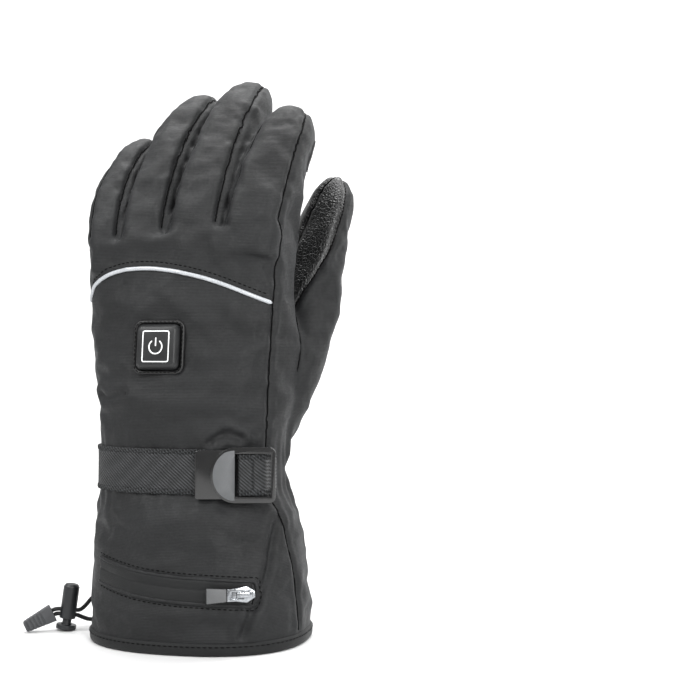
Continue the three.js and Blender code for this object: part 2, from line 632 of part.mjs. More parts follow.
// Wrist strap: webbing from the little finger's side round the back, under the buckle's plate
const strapMiddle = wristHeight + strapRise;
const strapLow = strapMiddle - strapWidth / 2;
const strapHigh = strapMiddle + strapWidth / 2;
const buckleMiddle = sideLean + (0.51 * wristWidth) / 2;
const plateEdge = -0.28 * buckleLength;      // from where the plate lies flat on the strap
const strapUnder = 5;                        // webbing under the plate
const strapEnds = [plateEdge, plateEdge + strapUnder].flatMap((along) => (
  [strapLow, strapHigh].map((z) => backPoint(buckleMiddle + along, z, clearance + webbing))
));
const flatAtBuckle = lieOnBack(buckleMiddle, wristHeight, 0);
const strapProud = Math.max(...strapEnds.map((point) => -flatAtBuckle.worldToLocal(point).y));
const buckleFrame = lieOnBack(
  buckleMiddle,
  wristHeight,
  plateThickness + clearance + Math.max(webbing + clearance, strapProud),
);
const strapStart = -Math.PI;
const strapEnd = backAngle(buckleMiddle + plateEdge + strapUnder, wristHeight);
const strapSteps = 14;
const strapAngles = Array.from({ length: strapSteps + 1 }, (_, i) => lerp(strapStart, strapEnd, i / strapSteps));
const strapLayer = (grow) => [strapLow, strapHigh].map((z) => strapAngles.map((a) => bodyPoint(z, a, grow, false)));
add('wrist_strap', sheet(strapLayer(clearance + webbing), strapLayer(clearance)), 'webbing');

// Buckle: a flat plate under the strap's end, and a frame with a finger tab, in one plane
const plateShape = roundedRectangle(plateLength, plateHeight, 1.5, plateEdge + plateLength / 2);
add('buckle_plate', prism(plateShape, 0, plateThickness), 'plastic', buckleFrame);

const frameEnd = plateEdge + buckleLength;
const tabEdge = frameEnd - frameWindow - barWidth;
const frameSide = buckleHeight / 2;
const frameCorner = 3;
const frameShape = new THREE.Shape();
frameShape.moveTo(tabEdge, -frameSide);
frameShape.lineTo(frameEnd - frameCorner, -frameSide);
frameShape.absarc(frameEnd - frameCorner, frameCorner - frameSide, frameCorner, -Math.PI / 2, 0, false);
frameShape.absarc(frameEnd - frameCorner, frameSide - frameCorner, frameCorner, 0, Math.PI / 2, false);
frameShape.lineTo(tabEdge, frameSide);
frameShape.absellipse(tabEdge, 0, tabReach, frameSide, Math.PI / 2, 1.5 * Math.PI, false, 0);
const windowLow = -frameSide + railWidth;
const windowHigh = frameSide - railWidth;
const frameBack = -clearance;
const frameFront = frameBack - frameThickness;
const windowEnd = frameEnd - barWidth;
const middleBar = [tabEdge + 0.2 * frameWindow, tabEdge + 0.55 * frameWindow];
add('buckle_frame', prism(frameShape, frameFront, frameBack)
  .subtract(block([tabEdge, frameFront - 1, windowLow], [windowEnd, frameBack + 1, windowHigh]))
  .add(block([middleBar[0], frameBack - 0.8, windowLow - 1], [middleBar[1], frameBack, windowHigh + 1])),
'plastic', buckleFrame);

// Webbing through the frame: up behind its end, over the middle bar and down behind the finger tab
const tailHalf = tailWidth / 2;
const overBar = frameBack - 0.8 - clearance - webbing / 2;
const TAIL_LINE = [
  { along: middleBar[0] - webbing, deep: frameBack + webbing },
  { along: middleBar[0] - 0.8 * webbing, deep: overBar + 0.8 },
  { along: middleBar[0] + 0.8, deep: overBar },
  { along: middleBar[1], deep: overBar },
  { along: windowEnd - 2.2 * webbing, deep: frameBack - 0.2 },
  { along: windowEnd - webbing, deep: frameBack + 2.6 * webbing },
  { along: windowEnd + 0.5 * webbing, deep: frameBack + 5 * webbing },
  { along: windowEnd + 1.2 * webbing, deep: frameBack + 10 * webbing },
];
const tailCurve = new THREE.SplineCurve(TAIL_LINE.map((row) => new THREE.Vector2(row.along, row.deep)));
const tailSteps = 18;
const tailLayer = (offset) => [-tailHalf, tailHalf].map((z) => Array.from({ length: tailSteps + 1 }, (_, i) => {
  const { x, y } = tailCurve.getPoint(i / tailSteps);
  const tangent = tailCurve.getTangent(i / tailSteps);
  return new THREE.Vector3(x - tangent.y * offset, y + tangent.x * offset, z);
}));
const fabricAtBuckle = handClear.transform(buckleFrame.matrixWorld.clone().invert().elements);
add('strap_tail', largest(solid(sheet(tailLayer(-webbing / 2), tailLayer(webbing / 2))).subtract(fabricAtBuckle)),
  'webbing', buckleFrame);

// Zip pocket on the cuff: a long window of tape in a sewn outline, which rises a little to the outer side.
// side: share of half the cuff's width. climb: share of zipWindowHeight.
const ZIP_LINE = [
  { side: -0.79, climb: 0.62 },
  { side: -0.52, climb: 0.38 },
  { side: -0.30, climb: 0.22 },
  { side: -0.03, climb: 0.10 },
  { side: 0.33, climb: 0.02 },
  { side: 0.56, climb: -0.06 },
  { side: 0.66, climb: -0.10 },
];
const zipCurve = new THREE.SplineCurve(ZIP_LINE.map((row) => (
  new THREE.Vector2((row.side * cuffWidth) / 2, zipHeight + row.climb * zipWindowHeight)
)));
const zipSteps = 10;
const zipEdge = (offset) => Array.from({ length: zipSteps + 1 }, (_, i) => (
  zipCurve.getPoint(i / zipSteps).add(new THREE.Vector2(0, offset))
));
const zipShape = new THREE.Shape([...zipEdge(zipWindowHeight / 2), ...zipEdge(-zipWindowHeight / 2).reverse()]);
const zipTop = zipHeight + 1.5 * zipWindowHeight;
const cuffSkin = (grow) => bodyLoft(bindingTop, zipTop, { grow, angles: FINE_ANGLES, gathers: false, folded: false });
add('zip_tape', cuffSkin(clearance + tapeThickness).subtract(cuffSkin(clearance))
  .intersect(prism(zipShape, -cuffDepth, 0)), 'webbing');

// Zip slider with its bridge, and the pull that swings on it
const sliderPlace = zipCurve.getPoint(0.87);
const sliderFrame = lieOnBack(sliderPlace.x, sliderPlace.y, 2 * clearance + tapeThickness);
const [sliderHalf, noseHalf] = [sliderWidth / 2, 0.4 * sliderWidth / 2];
const sliderShape = new THREE.Shape([
  new THREE.Vector2(-sliderLength / 2, -0.75 * sliderHalf),
  new THREE.Vector2(0.15 * sliderLength, -sliderHalf),
  new THREE.Vector2(sliderLength / 2, -noseHalf),
  new THREE.Vector2(sliderLength / 2, noseHalf),
  new THREE.Vector2(0.15 * sliderLength, sliderHalf),
  new THREE.Vector2(-sliderLength / 2, 0.75 * sliderHalf),
]);
const bridgeTop = sliderThickness + barSwing + pullBar / 2 + clearance;
const bridgeShape = new THREE.Shape([
  new THREE.Vector2(-0.32 * sliderLength, 0.5 - sliderThickness),
  new THREE.Vector2(0.42 * sliderLength, 0.5 - sliderThickness),
  new THREE.Vector2(0.34 * sliderLength, -bridgeTop - 0.2),
  new THREE.Vector2(0.22 * sliderLength, -bridgeTop - bridgeWall),
  new THREE.Vector2(-0.20 * sliderLength, -bridgeTop - bridgeWall),
  new THREE.Vector2(-0.32 * sliderLength, -bridgeTop - 0.2),
]);
const bridge = new THREE.ExtrudeGeometry(bridgeShape, { depth: bridgeWidth, bevelEnabled: false });
const bridgeSolid = solid(bridge, new THREE.Matrix4().makeTranslation(0, 0, -bridgeWidth / 2));
const bridgeHole = block(
  [-0.19 * sliderLength, -bridgeTop, -bridgeWidth],
  [0.24 * sliderLength, 0, bridgeWidth],
);
add('zip_slider', prism(sliderShape, -sliderThickness, 0).add(bridgeSolid.subtract(bridgeHole)), 'metal', sliderFrame);

const pullFrame = new THREE.Group();
pullFrame.position.set(0.02 * sliderLength, -sliderThickness - barSwing, 0);
pullFrame.rotation.z = rad(-pullSlope);
sliderFrame.add(pullFrame);
const linkLength = 0.46 * pullLength;
const [linkHalf, linkThick] = [linkWidth / 2, pullBar / 2];
const linkHole = bridgeWidth / 2 + clearance;
add('zip_pull_link', block([-linkLength, -linkThick, -linkHalf], [linkThick, linkThick, linkHalf])
  .subtract(block([-0.72 * linkLength, -pullBar, -linkHole], [-linkThick, pullBar, linkHole])), 'metal', pullFrame);
const gripShape = new THREE.Shape([
  new THREE.Vector2(-pullLength, -gripWidth / 2),
  new THREE.Vector2(-linkLength - clearance, -linkHalf),
  new THREE.Vector2(-linkLength - clearance, linkHalf),
  new THREE.Vector2(-pullLength, gripWidth / 2),
]);
add('zip_pull_grip', prism(gripShape, -gripThickness / 2, gripThickness / 2), 'rubber', pullFrame);

// Hem drawcord: two strands that leave the cuff, run through a cord lock on the floor and end in a pull tab
const DRAWCORD_LOWER = [
  [-58.7, 3.4, 4.6], [-61.9, 1.8, 4.7], [-65.1, 0.0, 5.1], [-67.3, -1.2, 6.0], [-69.2, -2.3, 7.0],
  [-70.6, -3.2, 7.7], [-74.6, -5.5, 8.3], [-78.5, -7.7, 9.0], [-79.7, -8.4, 9.0], [-80.8, -9.1, 8.6],
  [-83.2, -10.4, 7.3], [-86.1, -12.1, 5.7],
];
const DRAWCORD_UPPER = [
  [-57.8, 4.2, 19.2], [-61.6, 2.0, 18.0], [-64.1, 0.6, 15.8], [-65.8, -0.4, 13.5], [-67.5, -1.4, 11.5],
  [-69.1, -2.3, 10.4], [-70.3, -3.0, 10.3], [-74.3, -5.3, 10.9], [-78.2, -7.6, 11.5], [-80.0, -8.6, 11.5],
  [-81.8, -9.6, 10.9], [-84.2, -11.0, 9.6], [-87.0, -12.7, 8.1],
];
const cordSides = 8;
function cordTube(points) {
  const route = new THREE.CatmullRomCurve3(points.map((point) => new THREE.Vector3(...point)), false, 'centripetal');
  const section = new THREE.Shape(Array.from({ length: cordSides }, (_, i) => {
    const angle = (2 * Math.PI * (i + 0.5)) / cordSides;
    return new THREE.Vector2(Math.cos(angle), Math.sin(angle)).multiplyScalar(cordDiameter / 2);
  }));
  return new THREE.ExtrudeGeometry(section, { steps: 14, extrudePath: route, bevelEnabled: false });
}
add('drawcord_lower', solid(cordTube(DRAWCORD_LOWER)), 'webbing');
add('drawcord_upper', solid(cordTube(DRAWCORD_UPPER)), 'webbing');

const lockFrame = new THREE.Group();
lockFrame.position.set(...lockPlace);
lockFrame.rotation.set(0, rad(lockLean), rad(lockTurn), 'ZYX');
glove.add(lockFrame);
const turnedProfile = (profile) => solid(new THREE.LatheGeometry(
  profile.map(([radius, height]) => new THREE.Vector2(radius, height)),
  lockSides,
), new THREE.Matrix4().makeRotationX(Math.PI / 2));
const slotLow = strandHeight - cordDiameter / 2 - slotClearance;
const slotHigh = strandHeight + strandSpacing + cordDiameter / 2 + slotClearance;
const slotHalf = cordDiameter / 2 + slotClearance;
const lockRadius = lockDiameter / 2;
const barrelBottom = flangeHeight + plungerTravel + clearance;
const plungerTop = slotHigh + 2.5;
const boreTop = plungerTop + plungerTravel + clearance;
const boreRadius = lockRadius - lockWall;
const slot = (low) => block([-lockDiameter, -slotHalf, low], [lockDiameter, slotHalf, slotHigh]);
add('cord_lock_barrel', turnedProfile([
  [0, boreTop],
  [boreRadius, boreTop],
  [boreRadius, barrelBottom],
  [lockRadius, barrelBottom],
  [lockRadius, lockHeight - 1.5],
  [lockRadius - 1, lockHeight],
  [0, lockHeight - 1.2],
]).subtract(slot(slotLow)), 'plastic', lockFrame);
add('cord_lock_plunger', turnedProfile([
  [0, 0],
  [flangeDiameter / 2, 0],
  [flangeDiameter / 2, flangeHeight],
  [boreRadius - clearance, flangeHeight],
  [boreRadius - clearance, plungerTop],
  [0, plungerTop],
]).subtract(slot(slotLow - plungerTravel)), 'plastic', lockFrame);

const tabFrame = new THREE.Group();
tabFrame.position.set(...tabPlace);
tabFrame.rotation.set(0, rad(-tabDroop), rad(lockTurn), 'ZYX');
glove.add(tabFrame);
const ribs = 5;
const tabOutline = [new THREE.Vector2(0, -tabHeight / 2), new THREE.Vector2(0, tabHeight / 2)];
const tabBody = (half) => prism(new THREE.Shape([
  ...tabOutline,
  new THREE.Vector2(-tabLength + 1, (0.64 * tabHeight) / 2),
  new THREE.Vector2(-tabLength, (0.5 * tabHeight) / 2),
  new THREE.Vector2(-tabLength, (-0.5 * tabHeight) / 2),
  new THREE.Vector2(-tabLength + 1, (-0.64 * tabHeight) / 2),
]), -half, half);
let pullTab = tabBody(tabThickness / 2);
const ribPitch = (0.66 * tabLength) / ribs;
for (let i = 0; i < ribs; i++) {
  const from = -tabLength + ribPitch * (i + 0.55);
  for (const face of [-1, 1]) {
    const [near, far] = [face * (tabThickness / 2 - ribDepth), face * tabThickness];
    pullTab = pullTab.subtract(block(
      [from, Math.min(near, far), -tabHeight],
      [from + 0.4 * ribPitch, Math.max(near, far), tabHeight],
    ));
  }
}
for (const side of [-1, 1]) {
  pullTab = pullTab.subtract(block(
    [-tabSocket, -slotHalf, (side * strandSpacing) / 2 - slotHalf],
    [1, slotHalf, (side * strandSpacing) / 2 + slotHalf],
  ));
}
add('pull_tab', pullTab, 'rubber', tabFrame);

// The origin goes under the middle of the glove without its drawcord, lock and tab.
const drawcordPieces = ['drawcord_lower', 'drawcord_upper', 'cord_lock_barrel', 'cord_lock_plunger', 'pull_tab'];
glove.updateMatrixWorld(true);
const bounds = new THREE.Box3();
glove.traverse((piece) => {
  if (piece.isMesh && !drawcordPieces.includes(piece.name)) bounds.expandByObject(piece, true);
});
const middleOfGlove = bounds.getCenter(new THREE.Vector3());
glove.position.set(-middleOfGlove.x, -middleOfGlove.y, -bounds.min.z);

export default glove;
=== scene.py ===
"""Left-hand heated winter glove: padded shell, leather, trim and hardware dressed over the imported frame.
Sizes are in millimetres in the part's own coordinates, and become metres in the frame when a mesh is made."""
import math

import bmesh
import bpy
import numpy as np
from mathutils import Matrix, Vector
from mathutils.bvhtree import BVHTree
from mathutils.kdtree import KDTree


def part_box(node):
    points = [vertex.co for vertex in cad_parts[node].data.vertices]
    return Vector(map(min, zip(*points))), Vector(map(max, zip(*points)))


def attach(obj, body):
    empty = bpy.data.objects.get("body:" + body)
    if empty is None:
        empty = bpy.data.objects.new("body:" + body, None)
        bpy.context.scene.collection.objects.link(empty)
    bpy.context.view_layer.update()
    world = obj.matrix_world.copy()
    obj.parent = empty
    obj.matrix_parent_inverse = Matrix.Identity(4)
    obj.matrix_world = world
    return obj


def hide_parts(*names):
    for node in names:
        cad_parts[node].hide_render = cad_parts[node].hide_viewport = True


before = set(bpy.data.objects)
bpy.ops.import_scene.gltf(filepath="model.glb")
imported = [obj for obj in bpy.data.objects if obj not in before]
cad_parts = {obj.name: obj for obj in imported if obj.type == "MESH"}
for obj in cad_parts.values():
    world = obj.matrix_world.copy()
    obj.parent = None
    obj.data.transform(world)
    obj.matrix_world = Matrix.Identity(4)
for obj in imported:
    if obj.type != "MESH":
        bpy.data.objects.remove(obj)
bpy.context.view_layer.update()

RAD = math.pi / 180

# Sizes of the part
CUFF_WIDTH, CUFF_DEPTH = 114, 92
WRIST_WIDTH, WRIST_DEPTH, WRIST_HEIGHT = 98, 67, 88
HAND_WIDTH, HAND_DEPTH, KNUCKLE_DEPTH = 111, 58, 47
KNUCKLE_HEIGHT, KNUCKLE_SLOPE, SIDE_LEAN = 211, 6, -6
FINGER_LENGTH, FINGER_DEPTH = 98, 31
THUMB_WIDTH, THUMB_DEPTH, THUMB_TURN = 39, 27, -30
FABRIC_WALL, FINGER_WALL = 5, 4.5
RUFFLES, RUFFLE_DEPTH, GATHER_REACH = 12, 1.9, 27
BINDING_HEIGHT, BINDING_LIFT = 6.5, 0.9
STRAP_WIDTH, STRAP_RISE, WEBBING = 22.5, 1.2, 1.6
HAND_REACH = KNUCKLE_HEIGHT - WRIST_HEIGHT

CUFF_ROWS = {
    "rise": [0.00, 0.18, 0.38, 0.56, 0.70, 0.79, 0.85, 1.00],
    "wide": [1.00, 0.98, 0.86, 0.72, 0.52, 0.30, 0.03, 0.00],
    "deep": [1.00, 0.94, 0.78, 0.58, 0.38, 0.18, 0.02, 0.00],
    "lean": [0.1, 0.1, 0.2, 0.3, 0.4, 0.6, 0.8, 0.8],
}
HAND_ROWS = {
    "rise": [0.00, 0.10, 0.16, 0.28, 0.45, 0.62, 0.80, 0.92, 1.20],
    "wide": [0.00, 0.00, 0.14, 0.28, 0.50, 0.72, 0.92, 1.00, 1.00],
    "deep": [1.155, 1.145, 1.160, 1.140, 1.080, 1.000, 0.910, 0.840, 0.790],
    "lean": [0.8, 0.8, 0.8, 0.8, 0.9, 1.0, 1.0, 1.0, 1.0],
    "square": [2.35, 2.35, 2.35, 2.35, 2.35, 2.45, 2.65, 2.95, 3.20],
}
FINGERS = [
    {"name": "little", "from": 0.025, "to": 0.200, "length": 0.75, "splay": (-6, 16), "curl": (6, 66), "depth": 0.90},
    {"name": "ring", "from": 0.200, "to": 0.432, "length": 1.03, "splay": (0, 16), "curl": (8, 58), "depth": 0.96},
    {"name": "middle", "from": 0.432, "to": 0.712, "length": 1.03, "splay": (5, 11), "curl": (8, 54), "depth": 1.03},
    {"name": "index", "from": 0.712, "to": 0.995, "length": 0.71, "splay": (6, 12), "curl": (4, 44), "depth": 1.03},
]
FINGER_ROWS = {
    "along": [-0.30, 0.00, 0.14, 0.32, 0.52, 0.72, 0.86, 0.94, 0.985, 1.00],
    "wide": [1.00, 1.00, 1.00, 1.02, 1.02, 0.98, 0.84, 0.66, 0.40, 0.12],
    "root": [1.00, 1.00, 0.62, 0.24, 0.00, 0.00, 0.00, 0.00, 0.00, 0.00],
    "deep": [1.00, 1.00, 1.00, 1.00, 1.00, 0.94, 0.82, 0.64, 0.38, 0.12],
    "square": [3.6, 3.6, 3.2, 2.8, 2.5, 2.3, 2.1, 2.0, 2.0, 2.0],
}
THUMB_ROWS = {
    "side": [0.250, 0.300, 0.365, 0.425, 0.478, 0.522, 0.560, 0.580, 0.592, 0.598],
    "forward": [0.12, 0.21, 0.32, 0.44, 0.57, 0.70, 0.81, 0.87, 0.90, 0.91],
    "rise": [0.430, 0.490, 0.575, 0.690, 0.820, 0.950, 1.060, 1.120, 1.152, 1.164],
    "wide": [0.55, 0.78, 0.94, 1.02, 1.00, 0.96, 0.82, 0.62, 0.36, 0.10],
    "deep": [0.60, 0.85, 1.04, 1.08, 1.02, 0.90, 0.76, 0.58, 0.34, 0.10],
}


# ---------------------------------------------------------------- the part's own surfaces
def column(rows, key, at):
    return np.interp(at, rows[next(iter(rows))], rows[key])


def raw_section(z):
    low = z / WRIST_HEIGHT
    high = (z - WRIST_HEIGHT) / HAND_REACH
    cuff = z <= WRIST_HEIGHT
    half_low = WRIST_WIDTH + (CUFF_WIDTH - WRIST_WIDTH) * column(CUFF_ROWS, "wide", low)
    half_high = WRIST_WIDTH + (HAND_WIDTH - WRIST_WIDTH) * column(HAND_ROWS, "wide", high)
    deep_low = WRIST_DEPTH + (CUFF_DEPTH - WRIST_DEPTH) * column(CUFF_ROWS, "deep", low)
    deep_high = HAND_DEPTH * column(HAND_ROWS, "deep", high)
    lean = np.where(cuff, column(CUFF_ROWS, "lean", low), column(HAND_ROWS, "lean", high))
    square = np.where(cuff, HAND_ROWS["square"][0], column(HAND_ROWS, "square", high))
    return np.stack([np.where(cuff, half_low, half_high) / 2, np.where(cuff, deep_low, deep_high) / 2,
                     lean * SIDE_LEAN, square])


def section(z):
    """Half width, half depth, middle and squareness of the body at heights z, without the tables' corners."""
    z = np.asarray(z, float)
    return sum(raw_section(z + shift) for shift in (-5, -2.5, 0, 2.5, 5)) / 5


def rounded(value, square):
    return np.sign(value) * np.abs(value) ** (2 / square)


def body_point(z, angle, grow=0.0):
    half, deep, middle, square = section(z)
    return np.stack(np.broadcast_arrays(
        middle + (half + grow) * rounded(np.cos(angle), square),
        (deep + grow) * rounded(np.sin(angle), square),
        np.asarray(z, float)), -1)


def knuckle_at(x):
    return KNUCKLE_HEIGHT + math.tan(KNUCKLE_SLOPE * RAD) * x


def back_point(x, z, grow=0.0):
    half, _, middle, square = section(z)
    share = np.clip((x - middle) / half, -0.999, 0.999)
    return body_point(z, -np.arccos(rounded(share, 4 / square)), grow)


def finger_direction(finger, share):
    splay = (finger["splay"][0] + (finger["splay"][1] - finger["splay"][0]) * share) * RAD
    curl = (finger["curl"][0] + (finger["curl"][1] - finger["curl"][0]) * share) * RAD
    along = np.array([math.sin(splay), math.cos(splay) * math.sin(curl), math.cos(splay) * math.cos(curl)])
    side = np.array([math.cos(splay), -math.sin(splay) * math.sin(curl), -math.sin(splay) * math.cos(curl)])
    depth = np.array([0, math.cos(curl), -math.sin(curl)])
    return along, side, depth


def finger_frame(finger, share, grow=0.0):
    """Middle, side and depth vectors and half sizes of a finger's section at a share of its length."""
    left = SIDE_LEAN - HAND_WIDTH / 2
    root_x = left + HAND_WIDTH * (finger["from"] + finger["to"]) / 2
    root_wide = (HAND_WIDTH * (finger["to"] - finger["from"]) - 0.3) / 2
    length = FINGER_LENGTH * finger["length"]
    reach = share * (1 + grow / length) if share > 0 else share
    place = np.array([root_x, 0, knuckle_at(root_x)])
    if reach <= 0:
        place = place + finger_direction(finger, 0)[0] * reach * length
    else:
        for i in range(24):
            place = place + finger_direction(finger, (i + 0.5) / 24 * reach)[0] * reach * length / 24
    _, side, depth = finger_direction(finger, min(max(reach, 0), 1))
    root = KNUCKLE_DEPTH * min(1, finger["depth"])
    own = FINGER_DEPTH * finger["depth"]
    wide = root_wide * column(FINGER_ROWS, "wide", share)
    deep = column(FINGER_ROWS, "deep", share) * (own + (root - own) * column(FINGER_ROWS, "root", share)) / 2
    return place, side, depth, wide, deep, column(FINGER_ROWS, "square", share)


def thumb_frame(row, grow=0.0):
    """The same of the thumb, at a row of its table; a row may be between two."""
    count = len(THUMB_ROWS["side"])
    at = np.clip(np.array([row - 0.8, row, row + 0.8]), 0, count - 1)
    steps = np.arange(count)
    x = SIDE_LEAN + np.interp(at, steps, THUMB_ROWS["side"]) * HAND_WIDTH
    y = np.interp(at, steps, THUMB_ROWS["forward"]) * HAND_DEPTH
    z = np.interp(at, steps, THUMB_ROWS["rise"]) * KNUCKLE_HEIGHT
    places = np.stack([x, y, z], -1)
    along = places[2] - places[0]
    along /= np.linalg.norm(along)
    turned = np.array([math.cos(THUMB_TURN * RAD), math.sin(THUMB_TURN * RAD), 0])
    depth = np.cross(along, turned)
    depth /= np.linalg.norm(depth)
    side = np.cross(depth, along)
    ends = max(0, (row - 6) / (count - 7))
    wide = THUMB_WIDTH * np.interp(row, steps, THUMB_ROWS["wide"]) / 2
    deep = THUMB_DEPTH * np.interp(row, steps, THUMB_ROWS["deep"]) / 2
    return places[1] + along * grow * ends, side, depth, wide, deep, 2.2


def tube_point(tube, angle, grow=0.0):
    place, side, depth, wide, deep, square = tube
    angle = np.asarray(angle, float)[..., None]
    return (place + side * max(0.4, wide + grow) * rounded(np.cos(angle), square)
            + depth * max(0.4, deep + grow) * rounded(np.sin(angle), square))


# ---------------------------------------------------------------- meshes
hem_angles = np.linspace(0, 2 * math.pi, 64, endpoint=False)
hem_reach = body_point(np.full(64, 3.0), hem_angles, BINDING_LIFT)
hem_low, hem_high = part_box("hem_binding")
SHIFT = np.array([
    500 * (hem_low.x + hem_high.x) - (hem_reach[:, 0].min() + hem_reach[:, 0].max()) / 2,
    500 * (hem_low.y + hem_high.y) - (hem_reach[:, 1].min() + hem_reach[:, 1].max()) / 2,
    0.0])


def in_frame(points):
    return (np.asarray(points, float) + SHIFT) / 1000


def make(name, points, faces, material, slot=None, body="glove", smooth=True):
    mesh = bpy.data.meshes.new(name)
    mesh.from_pydata(in_frame(points).tolist(), [], [list(map(int, f)) for f in faces])
    mesh.validate()
    mesh.update()
    obj = bpy.data.objects.new(name, mesh)
    bpy.context.scene.collection.objects.link(obj)
    mesh.materials.append(material)
    if smooth:
        mesh.shade_smooth()
    if body:
        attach(obj, body)
    return obj


def loft(rings, closed=True):
    """Points and faces through rings of as many points each, closed at both ends."""
    rings = np.asarray(rings, float)
    rows, around = rings.shape[:2]
    faces = []
    for r in range(rows - 1):
        for i in range(around):
            a, b = r * around + i, r * around + (i + 1) % around
            faces.append((a, b, b + around, a + around))
    points = rings.reshape(-1, 3)
    if closed:
        points = np.vstack([points, rings[0].mean(0), rings[-1].mean(0)])
        low, high, last = len(points) - 2, len(points) - 1, (rows - 1) * around
        for i in range(around):
            j = (i + 1) % around
            faces.append((low, j, i))
            faces.append((high, last + i, last + j))
    return points, faces


def slab(outer, inner):
    """Points and faces of a closed sheet between two grids of points, rows by columns."""
    outer, inner = np.asarray(outer, float), np.asarray(inner, float)
    rows, columns = outer.shape[:2]
    index = np.arange(rows * columns).reshape(rows, columns)
    under = index + rows * columns
    faces = []
    for r in range(rows - 1):
        for c in range(columns - 1):
            faces.append((index[r, c], index[r, c + 1], index[r + 1, c + 1], index[r + 1, c]))
            faces.append((under[r, c], under[r + 1, c], under[r + 1, c + 1], under[r, c + 1]))
    for r in range(rows - 1):
        faces.append((index[r + 1, 0], under[r + 1, 0], under[r, 0], index[r, 0]))
        faces.append((index[r, -1], under[r, -1], under[r + 1, -1], index[r + 1, -1]))
    for c in range(columns - 1):
        faces.append((index[0, c], under[0, c], under[0, c + 1], index[0, c + 1]))
        faces.append((index[-1, c + 1], under[-1, c + 1], under[-1, c], index[-1, c]))
    return np.vstack([outer.reshape(-1, 3), inner.reshape(-1, 3)]), faces


def tube(points, radius, sides=8, flat=1.0, normals=None, taper=True):
    """Points and faces of a tube along a line of points; flat squashes it towards its normals."""
    points = np.asarray(points, float)
    apart = np.concatenate([[True], np.linalg.norm(np.diff(points, axis=0), axis=1) > 1e-3])
    points = points[apart]
    if normals is not None:
        normals = np.asarray(normals)[apart]
    tangent = np.gradient(points, axis=0)
    tangent /= np.linalg.norm(tangent, axis=1)[:, None]
    if normals is None:
        normals = np.zeros_like(points)
        normals[:] = (0, 0, 1)
    normals = normals - tangent * (normals * tangent).sum(1)[:, None]
    normals /= np.linalg.norm(normals, axis=1)[:, None]
    across = np.cross(tangent, normals)
    radii = np.full(len(points), float(radius))
    if taper:
        radii[0] = radii[-1] = radius * 0.45
    angle = np.linspace(0, 2 * math.pi, sides, endpoint=False)
    rings = (points[:, None] + radii[:, None, None] * (
        across[:, None] * np.cos(angle)[None, :, None] + flat * normals[:, None] * np.sin(angle)[None, :, None]))
    return loft(rings)


def joined(pieces):
    points, faces, start = [], [], 0
    for p, f in pieces:
        points.append(np.asarray(p, float))
        faces += [tuple(i + start for i in face) for face in f]
        start += len(p)
    return np.vstack(points), faces


def arrays(mesh):
    points = np.empty(len(mesh.vertices) * 3)
    mesh.vertices.foreach_get("co", points)
    return points.reshape(-1, 3)


def applied(obj):
    """The object's mesh with its modifiers, as a new mesh; the object is removed."""
    bpy.context.view_layer.update()
    result = bpy.data.meshes.new_from_object(obj.evaluated_get(bpy.context.evaluated_depsgraph_get()))
    bpy.data.objects.remove(obj)
    return result


def scratch(points, faces):
    mesh = bpy.data.meshes.new("scratch")
    mesh.from_pydata(np.asarray(points, float).tolist(), [], [list(map(int, f)) for f in faces])
    obj = bpy.data.objects.new("scratch", mesh)
    bpy.context.scene.collection.objects.link(obj)
    return obj


def remeshed(points, faces, voxel):
    """One closed surface round overlapping closed ones, as points and quads."""
    obj = scratch(points, faces)
    modifier = obj.modifiers.new("remesh", "REMESH")
    modifier.mode = "VOXEL"
    modifier.voxel_size = voxel
    mesh = applied(obj)
    quads = [tuple(p.vertices) for p in mesh.polygons]
    edges = np.array([tuple(e.vertices) for e in mesh.edges])
    points = arrays(mesh)
    bpy.data.meshes.remove(mesh)
    return points, quads, edges


def smoothed(points, edges, rounds, share=0.6):
    count = np.bincount(edges.ravel(), minlength=len(points))[:, None]
    for _ in range(rounds):
        total = np.zeros_like(points)
        np.add.at(total, edges[:, 0], points[edges[:, 1]])
        np.add.at(total, edges[:, 1], points[edges[:, 0]])
        points = points + share * (total / count - points)
    return points


def normals_of(points, quads):
    q = np.asarray(quads)
    n = np.cross(points[q[:, 2]] - points[q[:, 0]], points[q[:, 3]] - points[q[:, 1]])
    total = np.zeros_like(points)
    for k in range(4):
        np.add.at(total, q[:, k], n)
    return total / np.maximum(np.linalg.norm(total, axis=1), 1e-9)[:, None]


def wander(points, scale, seed):
    """Smooth noise between about -1 and 1, from waves in fixed directions."""
    rng = np.random.default_rng(seed)
    total = 0
    for _ in range(9):
        way = rng.normal(size=3)
        way *= 2 * math.pi / (scale * rng.uniform(0.7, 1.5)) / np.linalg.norm(way)
        total = total + np.sin(points @ way + rng.uniform(0, 6.28))
    return total / 3.2


# ---------------------------------------------------------------- materials
def rgb(value, alpha=1.0):
    return (*[((value >> shift & 255) / 255) ** 2.2 for shift in (16, 8, 0)], alpha)


